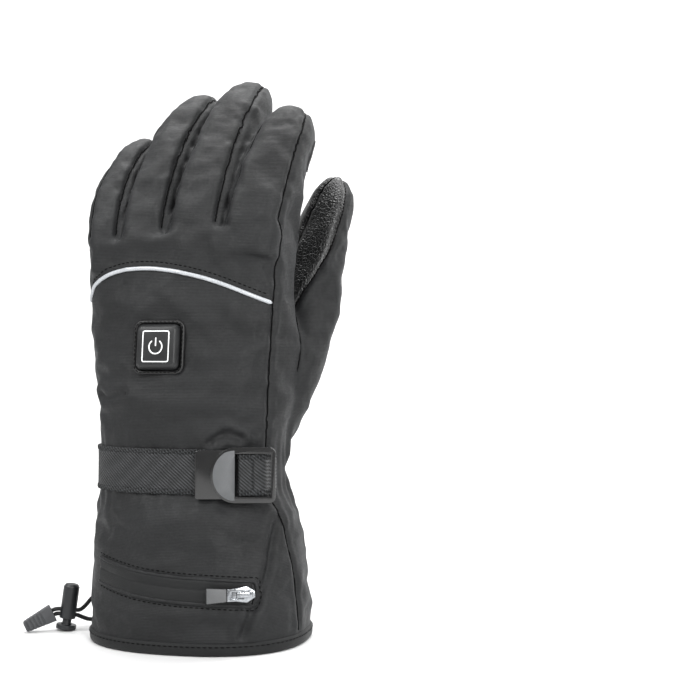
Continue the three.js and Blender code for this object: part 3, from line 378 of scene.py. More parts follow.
class Surface:
    """A material, and short ways to add and join its nodes."""

    def __init__(self, name, color, roughness, metallic=0.0, **sockets):
        self.material = bpy.data.materials.new(name)
        self.material.use_nodes = True
        self.tree = self.material.node_tree
        self.shader = self.tree.nodes["Principled BSDF"]
        self.shader.inputs["Base Color"].default_value = rgb(color)
        self.shader.inputs["Roughness"].default_value = roughness
        self.shader.inputs["Metallic"].default_value = metallic
        for key, value in sockets.items():
            self.shader.inputs[key.replace("_", " ")].default_value = value
        self.place = self.tree.nodes.new("ShaderNodeTexCoord").outputs["Object"]
        self.height = None

    def node(self, kind, inputs=(), **settings):
        made = self.tree.nodes.new("ShaderNode" + kind)
        for key, value in settings.items():
            setattr(made, key, value)
        for key, value in dict(inputs).items():
            if hasattr(value, "is_linked"):
                self.tree.links.new(value, made.inputs[key])
            else:
                made.inputs[key].default_value = value
        return made

    def scaled(self, x, y, z, turn=(0, 0, 0), place=None):
        """Coordinates multiplied by so many per metre along each axis, after a turn."""
        return self.node("Mapping", {"Vector": place or self.place, "Rotation": turn, "Scale": (x, y, z)},
                         vector_type="POINT").outputs[0]

    def noise(self, place, scale=1.0, detail=2.0, rough=0.5):
        return self.node("TexNoise", {"Vector": place, "Scale": scale, "Detail": detail,
                                      "Roughness": rough}).outputs[0]

    def wave(self, place, scale, distortion=0.0, way="Z", profile="SIN"):
        return self.node("TexWave", {"Vector": place, "Scale": scale, "Distortion": distortion,
                                     "Detail": 1.0, "Detail Scale": 1.5}, wave_type="BANDS",
                         bands_direction=way, wave_profile=profile).outputs[1]

    def math(self, operation, a, b=0.0, clamp=False):
        return self.node("Math", {0: a, 1: b}, operation=operation, use_clamp=clamp).outputs[0]

    def ramp(self, value, low, high, out_low=0.0, out_high=1.0):
        return self.node("MapRange", {"Value": value, "From Min": low, "From Max": high, "To Min": out_low,
                                      "To Max": out_high}).outputs[0]

    def color(self, value, dark, light):
        mix = self.node("Mix", {0: value}, data_type="RGBA")
        mix.inputs[6].default_value = rgb(dark)
        mix.inputs[7].default_value = rgb(light)
        self.tree.links.new(mix.outputs[2], self.shader.inputs["Base Color"])
        return mix.outputs[2]

    def rough(self, value):
        self.tree.links.new(value, self.shader.inputs["Roughness"])

    def bump(self, value, depth, strength=1.0):
        """Adds relief of that depth in millimetres on top of what is there."""
        made = self.node("Bump", {"Height": value, "Strength": strength, "Distance": depth / 1000})
        if self.height is not None:
            self.tree.links.new(self.height, made.inputs["Normal"])
        self.height = made.outputs[0]
        self.tree.links.new(self.height, self.shader.inputs["Normal"])
        return self


def shell_fabric():
    s = Surface("shell_fabric", 0x18191a, 0.62, Sheen_Weight=0.08, Sheen_Roughness=0.4, Specular_IOR_Level=0.32)
    s.shader.inputs["Sheen Tint"].default_value = rgb(0xa8abae)
    ribs = s.wave(s.scaled(1, 1, 1), 430, 1.2)
    slub = s.noise(s.scaled(45, 45, 1150), 1.0, 3.0, 0.65)
    threads = s.noise(s.scaled(900, 900, 2600), 1.0, 1.0)
    cloud = s.noise(s.place, 28, 2.0)
    fleck = s.noise(s.place, 700, 1.0)
    lines = s.math("ADD", s.math("MULTIPLY", ribs, 0.45), s.math("MULTIPLY", slub, 0.9))
    shade = s.math("ADD", s.math("MULTIPLY", lines, 0.55), s.math("MULTIPLY", cloud, 0.45))
    s.color(s.ramp(shade, 0.3, 0.85), 0x080809, 0x212223)
    s.rough(s.ramp(s.math("ADD", slub, fleck), 0.6, 1.5, 0.52, 0.74))
    s.bump(lines, 0.11).bump(threads, 0.06, 0.7)
    return s.material


def binding_fabric():
    s = Surface("binding_fabric", 0x141515, 0.7, Sheen_Weight=0.06, Specular_IOR_Level=0.3)
    weave = s.wave(s.scaled(1, 1, 1, (0, 0.9, 0)), 520, 0.6)
    cloud = s.noise(s.place, 90, 2.0)
    s.color(s.ramp(s.math("ADD", weave, cloud), 0.4, 1.6), 0x0f1010, 0x1c1d1e)
    s.rough(s.ramp(cloud, 0.3, 0.7, 0.62, 0.78))
    s.bump(weave, 0.07)
    return s.material


def patch_leather():
    s = Surface("patch_leather", 0x111213, 0.3, Coat_Weight=0.25, Coat_Roughness=0.3, Specular_IOR_Level=0.4)
    cells = s.node("TexVoronoi", {"Vector": s.place, "Scale": 560.0}, feature="DISTANCE_TO_EDGE").outputs[0]
    pebble = s.ramp(cells, 0.0, 0.22)
    broad = s.noise(s.place, 60, 2.0)
    s.color(s.ramp(s.math("ADD", pebble, broad), 0.3, 1.6), 0x020202, 0x0e0f10)
    s.rough(s.ramp(s.math("ADD", s.math("MULTIPLY", pebble, -0.3), broad), 0.1, 0.6, 0.34, 0.5))
    s.bump(broad, 0.08).bump(pebble, 0.2)
    return s.material


def reflective_tape():
    s = Surface("reflective_tape", 0xb4b7ba, 0.34, 0.1)
    beads = s.node("TexVoronoi", {"Vector": s.place, "Scale": 2400.0}).outputs[0]
    s.color(s.ramp(beads, 0.0, 0.9), 0xc2c5c8, 0x9a9da1)
    s.rough(s.ramp(s.noise(s.place, 300), 0.3, 0.7, 0.26, 0.42))
    s.bump(beads, 0.03)
    return s.material


def strap_webbing():
    s = Surface("strap_webbing", 0x0c0c0d, 0.48, Sheen_Weight=0.03, Specular_IOR_Level=0.4)
    twill = s.wave(s.scaled(1, 0.25, 1, (0, -0.72, 0)), 235, 0.25)
    yarns = s.wave(s.scaled(1, 0.25, 1, (0, 0.6, 0)), 900, 0.8)
    cloud = s.noise(s.place, 120, 2.0)
    weave = s.math("ADD", s.math("MULTIPLY", twill, 0.75), s.math("MULTIPLY", yarns, 0.3))
    s.color(s.ramp(s.math("ADD", weave, s.math("MULTIPLY", cloud, 0.2)), 0.35, 1.15), 0x020202, 0x36383a)
    s.rough(s.ramp(weave, 0.1, 1.0, 0.72, 0.45))
    s.bump(weave, 0.2)
    return s.material


def moulded_plastic(name, color, light, roughness, grain=0.02, coat=0.0):
    s = Surface(name, color, roughness, Coat_Weight=coat, Coat_Roughness=0.12)
    fine = s.noise(s.place, 1600, 2.0)
    broad = s.noise(s.place, 70, 3.0)
    s.color(s.ramp(broad, 0.3, 0.7), color, light)
    s.rough(s.ramp(s.math("ADD", fine, broad), 0.7, 1.3, roughness * 0.8, roughness * 1.25))
    s.bump(fine, grain)
    return s.material


def zip_metal():
    s = Surface("zip_metal", 0x9a9da0, 0.22, 1.0)
    scratch_lines = s.noise(s.scaled(300, 2500, 2500), 1.0, 3.0)
    s.color(s.ramp(s.noise(s.place, 220, 2.0), 0.3, 0.7), 0x83868a, 0xb4b7ba)
    s.rough(s.ramp(scratch_lines, 0.3, 0.75, 0.14, 0.32))
    s.bump(scratch_lines, 0.01)
    return s.material


def cord_braid():
    s = Surface("cord_braid", 0x0e0e0f, 0.62, Sheen_Weight=0.08)
    one = s.wave(s.scaled(1, 1, 1, (0.6, 0.9, 0)), 560, 0.2)
    two = s.wave(s.scaled(1, 1, 1, (-0.6, -0.9, 0)), 560, 0.2)
    braid = s.math("MULTIPLY", one, two)
    s.color(s.ramp(braid, 0.0, 0.8), 0x070708, 0x1e1f21)
    s.rough(s.ramp(braid, 0.0, 0.8, 0.75, 0.55))
    s.bump(braid, 0.25)
    return s.material


def thread(name, color):
    s = Surface(name, color, 0.8, Specular_IOR_Level=0.1)
    ply = s.noise(s.place, 1800, 2.0)
    s.color(s.ramp(ply, 0.3, 0.7), color, color + 0x040404)
    s.rough(s.ramp(ply, 0.3, 0.7, 0.7, 0.9))
    s.bump(ply, 0.05)
    return s.material


FABRIC, BINDING, LEATHER, TAPE = shell_fabric(), binding_fabric(), patch_leather(), reflective_tape()
STRAP_CLOTH, METAL, BRAID = strap_webbing(), zip_metal(), cord_braid()
GLOSS = moulded_plastic("buckle_plastic", 0x050506, 0x0b0b0c, 0.2, 0.008, 0.6)
TOUCH = moulded_plastic("touch_fabric", 0x0e0e0f, 0x1b1c1d, 0.6, 0.08)
BEZEL = moulded_plastic("bezel_plastic", 0x0a0a0b, 0x111112, 0.48, 0.03)
BUTTON = moulded_plastic("button_rubber", 0x151617, 0x1d1e1f, 0.45, 0.02)
MARK = moulded_plastic("button_print", 0xeceeee, 0xf6f7f7, 0.45, 0.01)
GRIP = moulded_plastic("grip_rubber", 0x4a4b4c, 0x5a5b5c, 0.55, 0.03)
LOCK = moulded_plastic("lock_plastic", 0x17181a, 0x232527, 0.42, 0.02)
TAB_FACE = moulded_plastic("tab_face", 0x494b4c, 0x5a5b5d, 0.55, 0.05)
TAB = moulded_plastic("tab_rubber", 0x333436, 0x434446, 0.55, 0.03)
ZIP_CLOTH = binding_fabric()
DARK_THREAD, STITCH_THREAD = thread("dark_thread", 0x040404), thread("stitch_thread", 0x060606)


# ---------------------------------------------------------------- padded shell
def seam_on_finger(finger, angle, start=0.0, end=0.97):
    """A seam along a finger, at degrees round its section; it closes towards the crotch at its start."""
    shares = np.linspace(start, end, 60)
    return np.array([tube_point(finger_frame(finger, s), angle * RAD) for s in shares])


def arched_seam(finger, first, last):
    """The seam round a finger's palm panel: up one side, over in an arch and down the other side."""
    rise, over = np.linspace(0.05, 0.80, 60), np.linspace(0, math.pi, 50)
    shares = np.concatenate([rise, 0.80 + 0.13 * np.sin(over), rise[::-1]])
    angles = np.concatenate([np.full(60, first), (first + last) / 2 + (first - last) / 2 * np.cos(over),
                             np.full(60, last)])
    return np.array([tube_point(finger_frame(finger, s), a * RAD) for s, a in zip(shares, angles)])


def on_back(points, count=60):
    """A smooth line through (x, z) places on the back of the body."""
    points = np.asarray(points, float)
    at = np.linspace(0, len(points) - 1, count)
    steps = np.arange(len(points))
    x, z = np.interp(at, steps, points[:, 0]), np.interp(at, steps, points[:, 1])
    kernel = np.ones(7) / 7
    x[3:-3], z[3:-3] = np.convolve(x, kernel, "valid"), np.convolve(z, kernel, "valid")
    return back_point(x, z)


def on_body(rows):
    """A line through (height, angle in degrees) places round the body."""
    rows = np.asarray(rows, float)
    at = np.linspace(0, len(rows) - 1, 80)
    steps = np.arange(len(rows))
    return body_point(np.interp(at, steps, rows[:, 0]), np.interp(at, steps, rows[:, 1]) * RAD)


BACK_SEAMS = {"little": (-128, -48), "ring": (-138, -45), "middle": (-140, -52), "index": (-138, -38)}
PALM_SEAMS = {"little": (128, 52), "ring": (132, 48), "middle": (132, 48), "index": (132, 45)}
seams = []
for finger in FINGERS:
    for angle in BACK_SEAMS[finger["name"]]:
        seams.append(seam_on_finger(finger, angle, 0.02))
    seams.append(arched_seam(finger, *PALM_SEAMS[finger["name"]]))
thumb_side_seam = on_body([(90, -26), (110, -27), (135, -28), (165, -28), (190, -27), (208, -26)])
little_side_seam = on_body([(90, -172), (130, -176), (170, -178), (205, -178)])
cuff_seams = [on_body([(8, -12), (30, -12), (55, -17), (78, -24)]), on_body([(8, -172), (40, -170), (80, -170)])]
index_root = seam_on_finger(FINGERS[3], BACK_SEAMS["index"][1], 0.02)[0]
index_link = thumb_side_seam[-1] + np.linspace(0, 1, 14)[:, None] * (index_root - thumb_side_seam[-1])
seams += [thumb_side_seam, index_link, little_side_seam, *cuff_seams]
thumb_seams = [
    np.array([tube_point(thumb_frame(r), a * RAD) for r, a in zip(np.linspace(2.5, 8.6, 60),
                                                                 np.interp(np.linspace(2.5, 8.6, 60), [2.5, 4, 5, 6, 8.6], [-95, -72, -36, -22, -16]))]),
    np.array([tube_point(thumb_frame(r), 160 * RAD) for r in np.linspace(3, 8.4, 60)]),
]
seams += thumb_seams


PIPING_LINE = [(-0.945, 0.832), (-0.835, 0.872), (-0.637, 0.898), (-0.380, 0.908), (-0.140, 0.906), (0.168, 0.891),
               (0.462, 0.868), (0.874, 0.824)]


def spread(curve, count):
    """The same curve with its points at equal steps."""
    curve = np.asarray(curve, float)
    length = np.concatenate([[0], np.cumsum(np.linalg.norm(np.diff(curve, axis=0), axis=1))])
    at = np.linspace(0, length[-1], count)
    return np.stack([np.interp(at, length, curve[:, k]) for k in range(curve.shape[1])], 1)


def rounded_line(places, count):
    """A smooth line through places, by Catmull-Rom steps."""
    p = np.asarray(places, float)
    p = np.vstack([2 * p[0] - p[1], p, 2 * p[-1] - p[-2]])
    line = []
    for a, b, c, d in zip(p[:-3], p[1:-2], p[2:-1], p[3:]):
        for t in np.linspace(0, 1, 12, endpoint=False):
            line.append(0.5 * (2 * b + (c - a) * t + (2 * a - 5 * b + 4 * c - d) * t * t
                               + (3 * b - a - 3 * c + d) * t ** 3))
    line.append(p[-2])
    return spread(line, count)


piping_line = rounded_line(PIPING_LINE, 110)
piping_x, piping_z = SIDE_LEAN + piping_line[:, 0] * HAND_WIDTH / 2, piping_line[:, 1] * KNUCKLE_HEIGHT
piping_path = back_point(piping_x, piping_z)
folds = [
    np.array([(47.5, -17.0, 66.0), (46.3, -19.0, 61.5), (45.2, -24.0, 50.0), (43.6, -29.2, 36.5), (38.3, -35.3, 22.7),
              (34.4, -39.1, 9.0)]),
    on_back([(-47.0, 127.0), (-43.0, 125.0), (-37.0, 126.5), (-31.0, 128.0)]),
    on_back([(15.5, 103.5), (19.0, 106.5), (24.0, 108.0), (29.5, 106.0)]),
]
folds[0] = np.stack([np.interp(np.linspace(0, 5, 60), range(6), folds[0][:, k]) for k in range(3)], 1)


def nearest(points, lines, reach):
    """Distance from each point to the nearest of the lines, no more than reach."""
    samples = np.vstack(lines)
    tree = KDTree(len(samples))
    for i, p in enumerate(samples):
        tree.insert(p, i)
    tree.balance()
    distance = np.full(len(points), float(reach))
    low, high = samples.min(0) - reach, samples.max(0) + reach
    for i in np.flatnonzero(((points > low) & (points < high)).all(1)):
        distance[i] = min(reach, tree.find(points[i])[2])
    return distance


def puffed(points, edges):
    """Lets the padding press the fabric out between its seams, as cloth; the moves are at most 4.5 mm."""
    coarse, faces, coarse_edges = remeshed(outer_points, outer_faces, 4.4)
    coarse = smoothed(coarse, coarse_edges, 2)
    obj = scratch(coarse / 1000, faces)
    held = np.exp(-(nearest(coarse, seams, 9) / 2.6) ** 2)
    held = np.maximum(held, np.exp(-(nearest(coarse, [piping_path], 14) / 6.5) ** 2))
    held = np.maximum(held, np.clip((BINDING_HEIGHT + 7 - coarse[:, 2]) / 6, 0, 1))
    held = np.maximum(held, np.clip((15.5 - np.abs(coarse[:, 2] - WRIST_HEIGHT - STRAP_RISE)) / 3, 0, 1))
    on_button = np.linalg.norm(coarse[:, [0, 2]] - (-14.1, 0.717 * KNUCKLE_HEIGHT), axis=1)
    in_zip = np.maximum(np.abs(coarse[:, 2] - 35) - 8, 0) + np.maximum(np.abs(coarse[:, 0] + 4) - 46, 0)
    back = coarse[:, 1] < 0
    held = np.maximum(held, back * np.clip((20 - on_button) / 5, 0, 1))
    held = np.maximum(held, back * np.clip((5 - in_zip) / 4, 0, 1) * 0.9)
    pins = obj.vertex_groups.new(name="seams")
    for i, weight in enumerate(held):
        pins.add([i], float(weight), "REPLACE")
    cloth = obj.modifiers.new("cloth", "CLOTH")
    cloth.settings.quality = 6
    cloth.settings.mass = 0.25
    cloth.settings.tension_stiffness = cloth.settings.compression_stiffness = 12
    cloth.settings.shear_stiffness = 4
    cloth.settings.bending_stiffness = 0.12
    cloth.settings.shrink_min = -0.03
    cloth.settings.vertex_group_mass = "seams"
    cloth.settings.pin_stiffness = 6
    cloth.settings.use_pressure = True
    cloth.settings.uniform_pressure_force = 4
    cloth.settings.effector_weights.gravity = 0
    cloth.collision_settings.use_collision = False
    cloth.point_cache.frame_start, cloth.point_cache.frame_end = 1, 20
    for step in range(1, 21):
        bpy.context.scene.frame_set(step)
    mesh = applied(obj)
    moves = arrays(mesh) * 1000 - coarse
    bpy.data.meshes.remove(mesh)
    bpy.context.scene.frame_set(1)
    size = np.linalg.norm(moves, axis=1)
    moves *= (np.minimum(size, 4.5) / np.maximum(size, 1e-6))[:, None]
    tree = KDTree(len(coarse))
    for i, p in enumerate(coarse):
        tree.insert(p, i)
    tree.balance()
    carried = np.empty_like(points)
    for i, p in enumerate(points):
        found = tree.find_n(p, 6)
        weight = np.array([1 / (f[2] + 0.6) ** 2 for f in found])
        carried[i] = weight @ moves[[f[1] for f in found]] / weight.sum()
    return points + smoothed(carried, edges, 3)


def outer_solids():
    pieces = []
    heights = np.concatenate([np.arange(BINDING_HEIGHT - 3, 180, 3.0), np.linspace(181, KNUCKLE_HEIGHT - 1, 14)])
    angles = np.linspace(0, 2 * math.pi, 128, endpoint=False)
    rings = []
    for z in heights:
        ring = body_point(np.full(128, z), angles)
        tilt = np.clip((z - 170) / 40, 0, 1)
        ring[:, 2] += tilt * (knuckle_at(ring[:, 0]) - KNUCKLE_HEIGHT)
        rings.append(ring)
    pieces.append(loft(rings))
    around = np.linspace(0, 2 * math.pi, 48, endpoint=False)
    for finger in FINGERS:
        shares = np.concatenate([np.linspace(-0.25, 0.85, 34), np.linspace(0.87, 0.985, 10), [0.995, 1.0]])
        pieces.append(loft([tube_point(finger_frame(finger, s), around) for s in shares]))
    rows = np.concatenate([np.linspace(0, 7, 36), np.linspace(7.2, 9, 12)])
    pieces.append(loft([tube_point(thumb_frame(r), around) for r in rows]))
    return joined(pieces)


def inner_solids():
    pieces = []
    angles = np.linspace(0, 2 * math.pi, 64, endpoint=False)
    rings = []
    for z in np.concatenate([[-12.0], np.arange(0, KNUCKLE_HEIGHT - 6, 5.0)]):
        ring = body_point(np.full(64, max(z, 0.0)), angles, -FABRIC_WALL)
        ring[:, 2] = z + np.clip((z - 170) / 40, 0, 1) * (knuckle_at(ring[:, 0]) - KNUCKLE_HEIGHT)
        rings.append(ring)
    pieces.append(loft(rings))
    around = np.linspace(0, 2 * math.pi, 28, endpoint=False)
    for finger in FINGERS:
        pieces.append(loft([tube_point(finger_frame(finger, s, -FINGER_WALL), around, -FINGER_WALL)
                            for s in np.linspace(-0.18, 0.97, 24)]))
    pieces.append(loft([tube_point(thumb_frame(r, -FINGER_WALL), around, -FINGER_WALL)
                        for r in np.linspace(1.2, 8, 24)]))
    return joined(pieces)


def gathers(points):
    """Folds that the elastic makes round the wrist: deep over the palm side, small over the back."""
    half, deep, middle, square = section(points[:, 2])
    angle = np.arctan2(points[:, 1] / deep, (points[:, 0] - middle) / half)
    away = (points[:, 2] - WRIST_HEIGHT) / GATHER_REACH
    fold = np.interp(away, [-1.0, -0.62, -0.26, 0.0, 0.26, 0.55, 0.90], [0, 0.5, 1.0, 0.2, 1.0, 0.5, 0])
    pinch = np.interp(away, [-1.0, -0.45, 0.0, 0.45, 0.90], [0, 0, 1.0, 0, 0])
    palm = 1.9 * np.clip(3 * np.sin(angle), 0, 1)
    waver = 0.5 * wander(points * (1, 1, 0.35), 30, 5)
    wave = np.cos(2 * RUFFLES * (angle + 0.05 * waver))
    small = 0.22 * np.cos(34 * (angle + 0.04 * waver)) * np.clip(1 - palm, 0, 1)
    return RUFFLE_DEPTH * (palm * (fold * wave - pinch) * (0.8 + 0.3 * waver) + small * fold)


outer_points, outer_faces = outer_solids()
points, quads, edges = remeshed(outer_points, outer_faces, 1.3)
points = smoothed(points, edges, 6)
normal = normals_of(points, quads)
above_hem = np.clip((points[:, 2] - BINDING_HEIGHT) / 4, 0, 1)
seam_distance = nearest(points, seams, 12)
pucker = wander(points, 7, 3)
lift = -1.1 * np.exp(-(seam_distance / 1.15) ** 2) + (0.35 + 0.25 * pucker) * np.exp(-((seam_distance - 3) / 1.8) ** 2)
lift += 0.45 * wander(points, 46, 1) + 0.16 * wander(points * (0.6, 0.6, 1.4), 15, 2)
lift += gathers(points)
fold_distance = nearest(points, folds, 12)
lift += -1.9 * np.exp(-(fold_distance / 1.7) ** 2) + 0.9 * np.exp(-((fold_distance - 4.5) / 2.6) ** 2)
crease = 1 - np.abs(wander(points * (1, 1, 0.8), 34, 8))
lift += 0.5 * np.clip(crease, 0, 1) ** 3
points = puffed(points, edges)
points = points + normal * (lift * above_hem)[:, None]
points = smoothed(points, edges, 1, 0.4)
inner_points, inner_faces = inner_solids()
core_points, core_quads, core_edges = remeshed(inner_points, inner_faces, 3.0)
core_points = smoothed(core_points, core_edges, 3)

surface = BVHTree.FromPolygons(points.tolist(), quads)


def hollowed(points, quads, core_points, core_quads):
    """The outer body with the space for the hand cut out of it."""
    outer, inner = scratch(points, quads), scratch(core_points, core_quads)
    modifier = outer.modifiers.new("hollow", "BOOLEAN")
    modifier.operation = "DIFFERENCE"
    modifier.solver = "MANIFOLD"
    modifier.object = inner
    mesh = applied(outer)
    bpy.data.objects.remove(inner)
    made = arrays(mesh), [tuple(p.vertices) for p in mesh.polygons]
    bpy.data.meshes.remove(mesh)
    return made


shell_points, shell_faces = hollowed(points, quads, core_points, core_quads)
shell = make("padded_shell", shell_points, shell_faces, FABRIC, "shell_fabric")
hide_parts("gauntlet_cuff", "hand_shell", "little_finger", "ring_finger", "middle_finger", "index_finger",
            "thumb")


# ---------------------------------------------------------------- laying pieces on the fabric
def on_fabric(points, lift=0.0):
    """The nearest places on the fabric, moved out by lift, and the fabric's normals there."""
    shape = np.shape(points)
    found = [surface.find_nearest(Vector(p))[:2] for p in np.reshape(points, (-1, 3))]
    places = np.array([tuple(f[0]) for f in found])
    normals = np.array([tuple(f[1]) for f in found])
    return (places + normals * np.reshape(lift, (-1, 1)) if np.ndim(lift) else places + normals * lift
            ).reshape(shape), normals.reshape(shape)


def edge_distance(grid):
    """Distance of each point of a grid from the grid's edge, along its rows and columns."""
    across = np.linalg.norm(np.diff(grid, axis=1), axis=2)
    up = np.linalg.norm(np.diff(grid, axis=0), axis=2)
    zero_c, zero_r = np.zeros((grid.shape[0], 1)), np.zeros((1, grid.shape[1]))
    left = np.hstack([zero_c, np.cumsum(across, 1)])
    low = np.vstack([zero_r, np.cumsum(up, 0)])
    return np.minimum(np.minimum(left, left[:, -1:] - left), np.minimum(low, low[-1:] - low))


def coons(bottom, top, left, right):
    """A grid between four curves of points that meet at their corners."""
    bottom, top, left, right = (np.asarray(c, float) for c in (bottom, top, left, right))
    u = np.linspace(0, 1, len(bottom))[None, :, None]
    v = np.linspace(0, 1, len(left))[:, None, None]
    straight = ((1 - u) * (1 - v) * bottom[0] + u * (1 - v) * bottom[-1]
                + (1 - u) * v * top[0] + u * v * top[-1])
    return (1 - v) * bottom[None] + v * top[None] + (1 - u) * left[:, None] + u * right[:, None] - straight


def sewn_patch(grid, thickness, grooves=(), edge=1.6, groove=(1.3, 1.2)):
    """A padded patch on the fabric, thin at its sewn edge, with grooves along lines of points."""
    places, normals = on_fabric(grid)
    for _ in range(8):
        places[1:-1, 1:-1] = (places[:-2, 1:-1] + places[2:, 1:-1] + places[1:-1, :-2] + places[1:-1, 2:]) / 4
    places = places + normals * 0.25
    inside = edge_distance(places)
    height = thickness * (1 - 0.85 * np.exp(-(inside / edge) ** 2))
    if len(grooves):
        distance = nearest(places.reshape(-1, 3), [on_fabric(line)[0] for line in grooves], 12).reshape(inside.shape)
        height = height - groove[1] * np.exp(-(distance / groove[0]) ** 2) \
            + 0.35 * thickness * np.exp(-((distance - 3.2) / 2.2) ** 2)
    height = np.maximum(height, 0.18)
    return slab(places + normals * height[..., None], places - normals * 0.8)


def stitches(line, normals, pitch=3.0, share=0.68, radius=0.24, lift=0.12):
    """Short raised threads along a line on the fabric."""
    line, normals = np.asarray(line, float), np.asarray(normals, float)
    length = np.concatenate([[0], np.cumsum(np.linalg.norm(np.diff(line, axis=0), axis=1))])
    pieces = []
    for i in range(int(length[-1] // pitch)):
        at = np.linspace(i * pitch, (i + share) * pitch, 5)
        p = np.stack([np.interp(at, length, line[:, k]) for k in range(3)], 1)
        n = np.stack([np.interp(at, length, normals[:, k]) for k in range(3)], 1)
        arch = np.array([-0.25, 0.75, 1.0, 0.75, -0.25])[:, None] * lift
        pieces.append(tube(p + n * arch, radius, 6, 0.8, n))
    return pieces


def seat(x, z, lift=0.0):
    """A frame that lies on the back of the body: origin, across, outward and up."""
    across = back_point(x + 1.0, z) - back_point(x - 1.0, z)
    across /= np.linalg.norm(across)
    rise = back_point(x, z + 1.0) - back_point(x, z - 1.0)
    inward = np.cross(rise, across)
    inward /= np.linalg.norm(inward)
    return back_point(x, z) - inward * lift, across, -inward, np.cross(across, inward)


def placed(frame_at, points):
    """Points given as (across, outward, up) in a frame."""
    origin, across, out, up = frame_at
    p = np.asarray(points, float)
    return origin + p[..., :1] * across + p[..., 1:2] * out + p[..., 2:] * up


def square_ring(width, height, corner, count=6):
    """Points round a rectangle with round corners, as (across, up)."""
    points = []
    for k, (sx, sy) in enumerate(((1, -1), (1, 1), (-1, 1), (-1, -1))):
        for a in np.linspace(-90, 0, count) + 90 * k:
            points.append((sx * (width / 2 - corner) + corner * math.cos(a * RAD),
                           sy * (height / 2 - corner) + corner * math.sin(a * RAD)))
    return np.array(points)


def looped(rings):
    """Points and faces of a closed band: rings whose last one joins the first."""
    rings = np.asarray(rings, float)
    rows, around = rings.shape[:2]
    faces = [(r * around + i, r * around + (i + 1) % around,
              (r + 1) % rows * around + (i + 1) % around, (r + 1) % rows * around + i)
             for r in range(rows) for i in range(around)]
    return rings.reshape(-1, 3), faces


def outward(piece):
    """The same faces, turned so that the closed piece faces out."""
    points, faces = piece
    volume = sum(np.dot(points[f[0]], np.cross(points[f[k]], points[f[k + 1]]))
                 for f in faces for k in range(1, len(f) - 1))
    return (points, faces) if volume > 0 else (points, [tuple(reversed(f)) for f in faces])


def refined(node, name, material, width, segments=3, body="glove", sharp=38):
    """A CAD node's own shape with softened edges, in its place."""
    mesh = bmesh.new()
    mesh.from_mesh(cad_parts[node].data)
    bmesh.ops.remove_doubles(mesh, verts=mesh.verts, dist=2e-6)
    bmesh.ops.dissolve_limit(mesh, angle_limit=1.5 * RAD, verts=mesh.verts, edges=mesh.edges)
    edges = [e for e in mesh.edges if e.is_manifold and e.calc_face_angle(0) > 28 * RAD]
    bmesh.ops.bevel(mesh, geom=edges, offset=width / 1000, segments=segments, profile=0.5,
                    affect="EDGES", clamp_overlap=True)
    data = bpy.data.meshes.new(name)
    mesh.to_mesh(data)
    mesh.free()
    data.shade_smooth()
    data.set_sharp_from_angle(angle=sharp * RAD)
    data.materials.clear()
    data.materials.append(material)
    obj = bpy.data.objects.new(name, data)
    bpy.context.scene.collection.objects.link(obj)
    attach(obj, body)
    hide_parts(node)
    return obj


# ---------------------------------------------------------------- leather
def palm_place(side, rise):
    """A place on the palm side: shares of half the hand's width and of the knuckles' height."""
    x = SIDE_LEAN + np.asarray(side, float) * HAND_WIDTH / 2
    z = np.asarray(rise, float) * KNUCKLE_HEIGHT
    half, _, middle, square = section(z)
    share = np.clip((x - middle) / half, -0.9995, 0.9995)
    return body_point(z, np.arccos(rounded(share, 4 / square)))


def palm_curve(places, count):
    line = rounded_line(places, count)
    return palm_place(line[:, 0], line[:, 1])


palm_top = palm_curve([(-0.99, 0.880), (-0.69, 0.900), (-0.34, 0.920), (-0.03, 0.942), (0.30, 0.950), (0.70, 0.945)], 90)
palm_bottom = palm_curve([(-0.99, 0.550), (-0.5, 0.540), (0.09, 0.530)], 90)
palm_left = palm_curve([(-0.99, 0.550), (-0.99, 0.70), (-0.99, 0.880)], 60)
palm_right = palm_curve([(0.09, 0.530), (0.14, 0.678), (0.34, 0.768), (0.58, 0.872), (0.70, 0.945)], 60)
palm_grid = coons(palm_bottom, palm_top, palm_left, palm_right)


def in_grid(grid, places, count=80):
    """A line through (across, up) shares of a grid."""
    line = rounded_line(places, count)
    rows, columns = grid.shape[0] - 1, grid.shape[1] - 1
    return np.array([grid[int(round(v * rows)), int(round(u * columns))] for u, v in np.clip(line, 0, 1)])


quilting = [
    in_grid(palm_grid, [(0.02, 0.86), (0.31, 0.50), (0.66, 0.04)]),
    in_grid(palm_grid, [(0.10, 0.10), (0.24, 0.42), (0.54, 0.68), (0.98, 0.86)]),
]
palm_patch = make("palm_leather", *outward(sewn_patch(palm_grid, 1.9, quilting)), LEATHER, "patch_leather")
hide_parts("palm_patch")

THUMB_SEAM = ([3.2, 4, 5, 6, 7, 8, 8.9], [-95, -72, -36, -22, -18, -16, -14])


def tube_grid(frames, low, high, columns):
    return np.array([tube_point(f, np.linspace(a, b, columns) * RAD) for f, a, b in zip(frames, low, high)])


thumb_rows = np.linspace(3.2, 8.7, 60)
thumb_grid = tube_grid([thumb_frame(r) for r in thumb_rows], np.full(60, -162.0),
                       np.interp(thumb_rows, *THUMB_SEAM), 44)
thumb_inner = in_grid(thumb_grid, [(0.42, 0.02), (0.44, 0.4), (0.50, 0.75), (0.62, 0.97)])
thumb_leather = make("thumb_leather", *outward(sewn_patch(thumb_grid, 0.9, [thumb_inner])), LEATHER, "patch_leather")
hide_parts("thumb_patch")

index = FINGERS[3]
tip_shares = np.linspace(0.56, 0.93, 40)
tip_grid = tube_grid([finger_frame(index, s) for s in tip_shares], np.full(30, 24.0), np.full(30, 156.0), 36)
touch = make("fingertip_patch", *outward(sewn_patch(tip_grid, 0.7, edge=1.0)), TOUCH, "patch_leather")
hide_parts("touch_patch")

